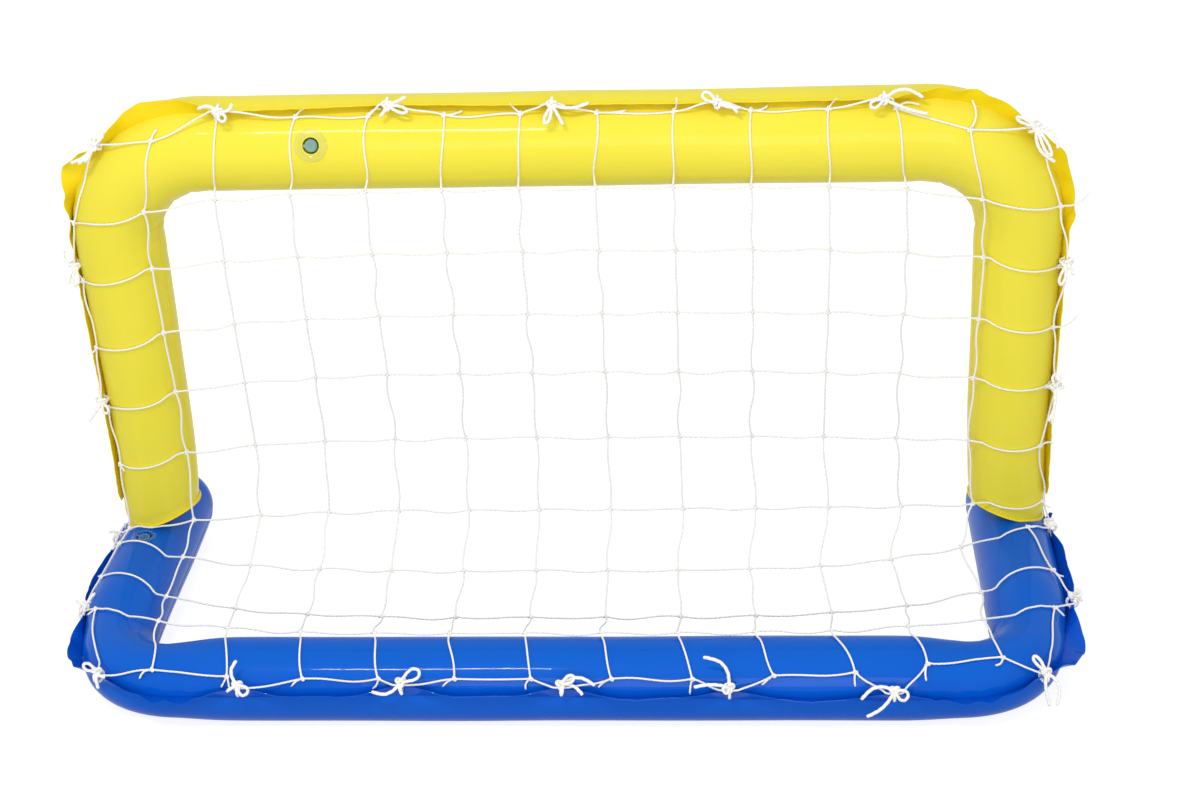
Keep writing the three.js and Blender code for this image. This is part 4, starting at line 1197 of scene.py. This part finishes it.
def makePlug(name, valve, body, node, material):
    v = valveSizes
    boss, cap = v["bore"] / 2 - 0.4 * mm, v["cap"] / 2
    seat, top = fitGap, fitGap + v["capThick"]
    soft = 0.4 * mm
    profile = [
        (0.02 * mm, -v["bossLength"]), (boss - 1.3 * mm, -v["bossLength"]),
        (boss - 0.9 * mm, -v["bossLength"] + soft), (boss, -0.4 * mm), (boss, seat), (cap - soft, seat),
        (cap, seat + soft), (cap, top - soft), (cap - soft, top), (cap - 1.6 * mm, top),
        (cap - 2.1 * mm, top - 0.45 * mm), (1.4 * mm, top - 0.45 * mm), (1.0 * mm, top), (0.02 * mm, top),
    ]
    points, faces = loftRings(turnedRings(valve, profile))
    strapRings = []
    for i in range(15):
        share = i / 14
        reach = between(cap - 1.0 * mm, v["hinge"] + 0.8 * mm, share)
        half = between(2.2 * mm, 1.7 * mm, share)
        rise = seat + 0.15 * mm + 0.9 * mm * sin(pi * share)
        strapRings.append([valvePoint(valve, reach, side, rise + high) for side, high in (
            (-half, 0), (half, 0), (half, 0.5 * mm), (half - 0.3 * mm, 0.7 * mm),
            (-half + 0.3 * mm, 0.7 * mm), (-half, 0.5 * mm))])
    strapPoints, strapFaces = loftRings(strapRings)
    faces += [tuple(i + len(points) for i in face) for face in strapFaces]
    addSolid(name, (points + strapPoints, faces), material, "clear_film", node, body, 35)


def makePatch(name, valve, diameter, material, node):
    v = valveSizes
    chamber = valve["chamber"]
    shape = filmShape["upper" if chamber is upper else "base"]
    inner, outer = v["pocket"] / 2 + v["patchGap"], diameter / 2
    radius = station(chamber, valve["place"])[3]
    sides = 72
    steps = [(inner, 1.0), (inner + 0.6 * mm, 1.6), (inner + 1.4 * mm, 1.0), (inner + 2.2 * mm, 1.7),
             (inner + 3.0 * mm, 1.0), (outer - 3.4 * mm, 1.0), (outer - 2.8 * mm, 1.5),
             (outer - 2.2 * mm, 1.0), (outer - 0.5 * mm, 1.0), (outer, 0.5)]
    rings = []
    profile = steps + [(outer, 0.1), (inner, 0.1)]
    for reach, high in profile:
        ring = []
        for k in range(sides):
            turn = tau * k / sides
            place = valve["place"] + reach * cos(turn)
            angle = valve["angle"] + degrees(reach * sin(turn) / radius)
            lift = filmLift(chamber, shape, place, angle)
            ring.append(surfacePoint(chamber, place, angle, max(lift, 0) + fitGap + high * v["patchThick"]))
        rings.append(ring)
    addSolid(name, loftRings(rings, closed=True), material, "clear_film", node)


makeStem("upperValveStem", upperValve, "upper_valve", "upper_valve_stem")
makeStem("baseValveStem", baseValve, "base_valve", "base_valve_stem")
makePlug("upperValvePlug", upperValve, "upper_plug", "upper_valve_plug", plugVinyl)
makePlug("baseValvePlug", baseValve, "base_plug", "base_valve_plug", bluePlugVinyl)
makePatch("upperValvePatch", upperValve, valveSizes["upperPatch"], clearFilm, "upper_valve_patch")
makePatch("baseValvePatch", baseValve, valveSizes["basePatch"], clearBlueFilm, "base_valve_patch")
for node in ("upper_valve_flap", "base_valve_flap"):
    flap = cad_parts[node]
    flap.data.materials.clear()
    flap.data.materials.append(valveVinyl)
print("valves made")

# Studio: a narrow softbox up on the left, a wide front light, a white surround and a pale floor
studio = {
    "lights": [  # name, place, size and power
        ("softbox", Vector((-0.60, -1.75, 2.70)), (0.70, 0.09), 23.0),
        ("frontFill", Vector((0.30, -3.60, 1.30)), (2.4, 1.6), 42.0),
    ],
    "aim": Vector((0, 0.15, 0.35)),
    "fill": 0.74, "floorSize": 30.0, "floorGlow": 0.84, "floorBounce": (0.65, 0.65, 0.65, 1),
    "floorColour": (0.36, 0.36, 0.36, 1),
}


def addSoftbox(name, place, size, power):
    data = bpy.data.lights.new(name, "AREA")
    data.shape = "RECTANGLE"
    data.size, data.size_y = size
    data.energy = power
    lamp = addObject(name, data)
    lamp.location = place
    lamp.rotation_euler = (studio["aim"] - place).to_track_quat("-Z", "Y").to_euler()


def whiteToView(tree):  # 1 for what the camera, a reflection or glass sees
    path = tree.nodes.new("ShaderNodeLightPath")
    total = path.outputs["Is Camera Ray"]
    for ray in ("Is Glossy Ray", "Is Transmission Ray"):
        add = tree.nodes.new("ShaderNodeMath")
        add.operation = "MAXIMUM"
        tree.links.new(total, add.inputs[0])
        tree.links.new(path.outputs[ray], add.inputs[1])
        total = add.outputs[0]
    return total


def makeWorld():
    world = bpy.data.worlds.new("surround")
    bpy.context.scene.world = world
    world.use_nodes = True
    tree = world.node_tree
    feed(tree, tree.nodes["Background"], Color=(1, 1, 1, 1),
         Strength=spread(tree, whiteToView(tree), studio["fill"], 1.0))


def makeFloor():
    half = studio["floorSize"] / 2
    corners = [(-half, -half, 0), (half, -half, 0), (half, half, 0), (-half, half, 0)]
    floor = addObject("floor", meshOf("floor", corners, [(0, 1, 2, 3)]))
    material, tree, shader = newMaterial("paleFloor")
    seen = whiteToView(tree)
    feed(tree, shader, Base_Color=mixed(tree, studio["floorBounce"], studio["floorColour"], seen),
         Roughness=1.0, Specular_IOR_Level=0.0, Emission_Color=(1, 1, 1, 1),
         Emission_Strength=spread(tree, seen, 0.0, studio["floorGlow"]))
    floor.data.materials.append(material)


for light in studio["lights"]:
    addSoftbox(*light)
makeWorld()
makeFloor()
bpy.context.scene.view_settings.view_transform = "Standard"
print("studio made")
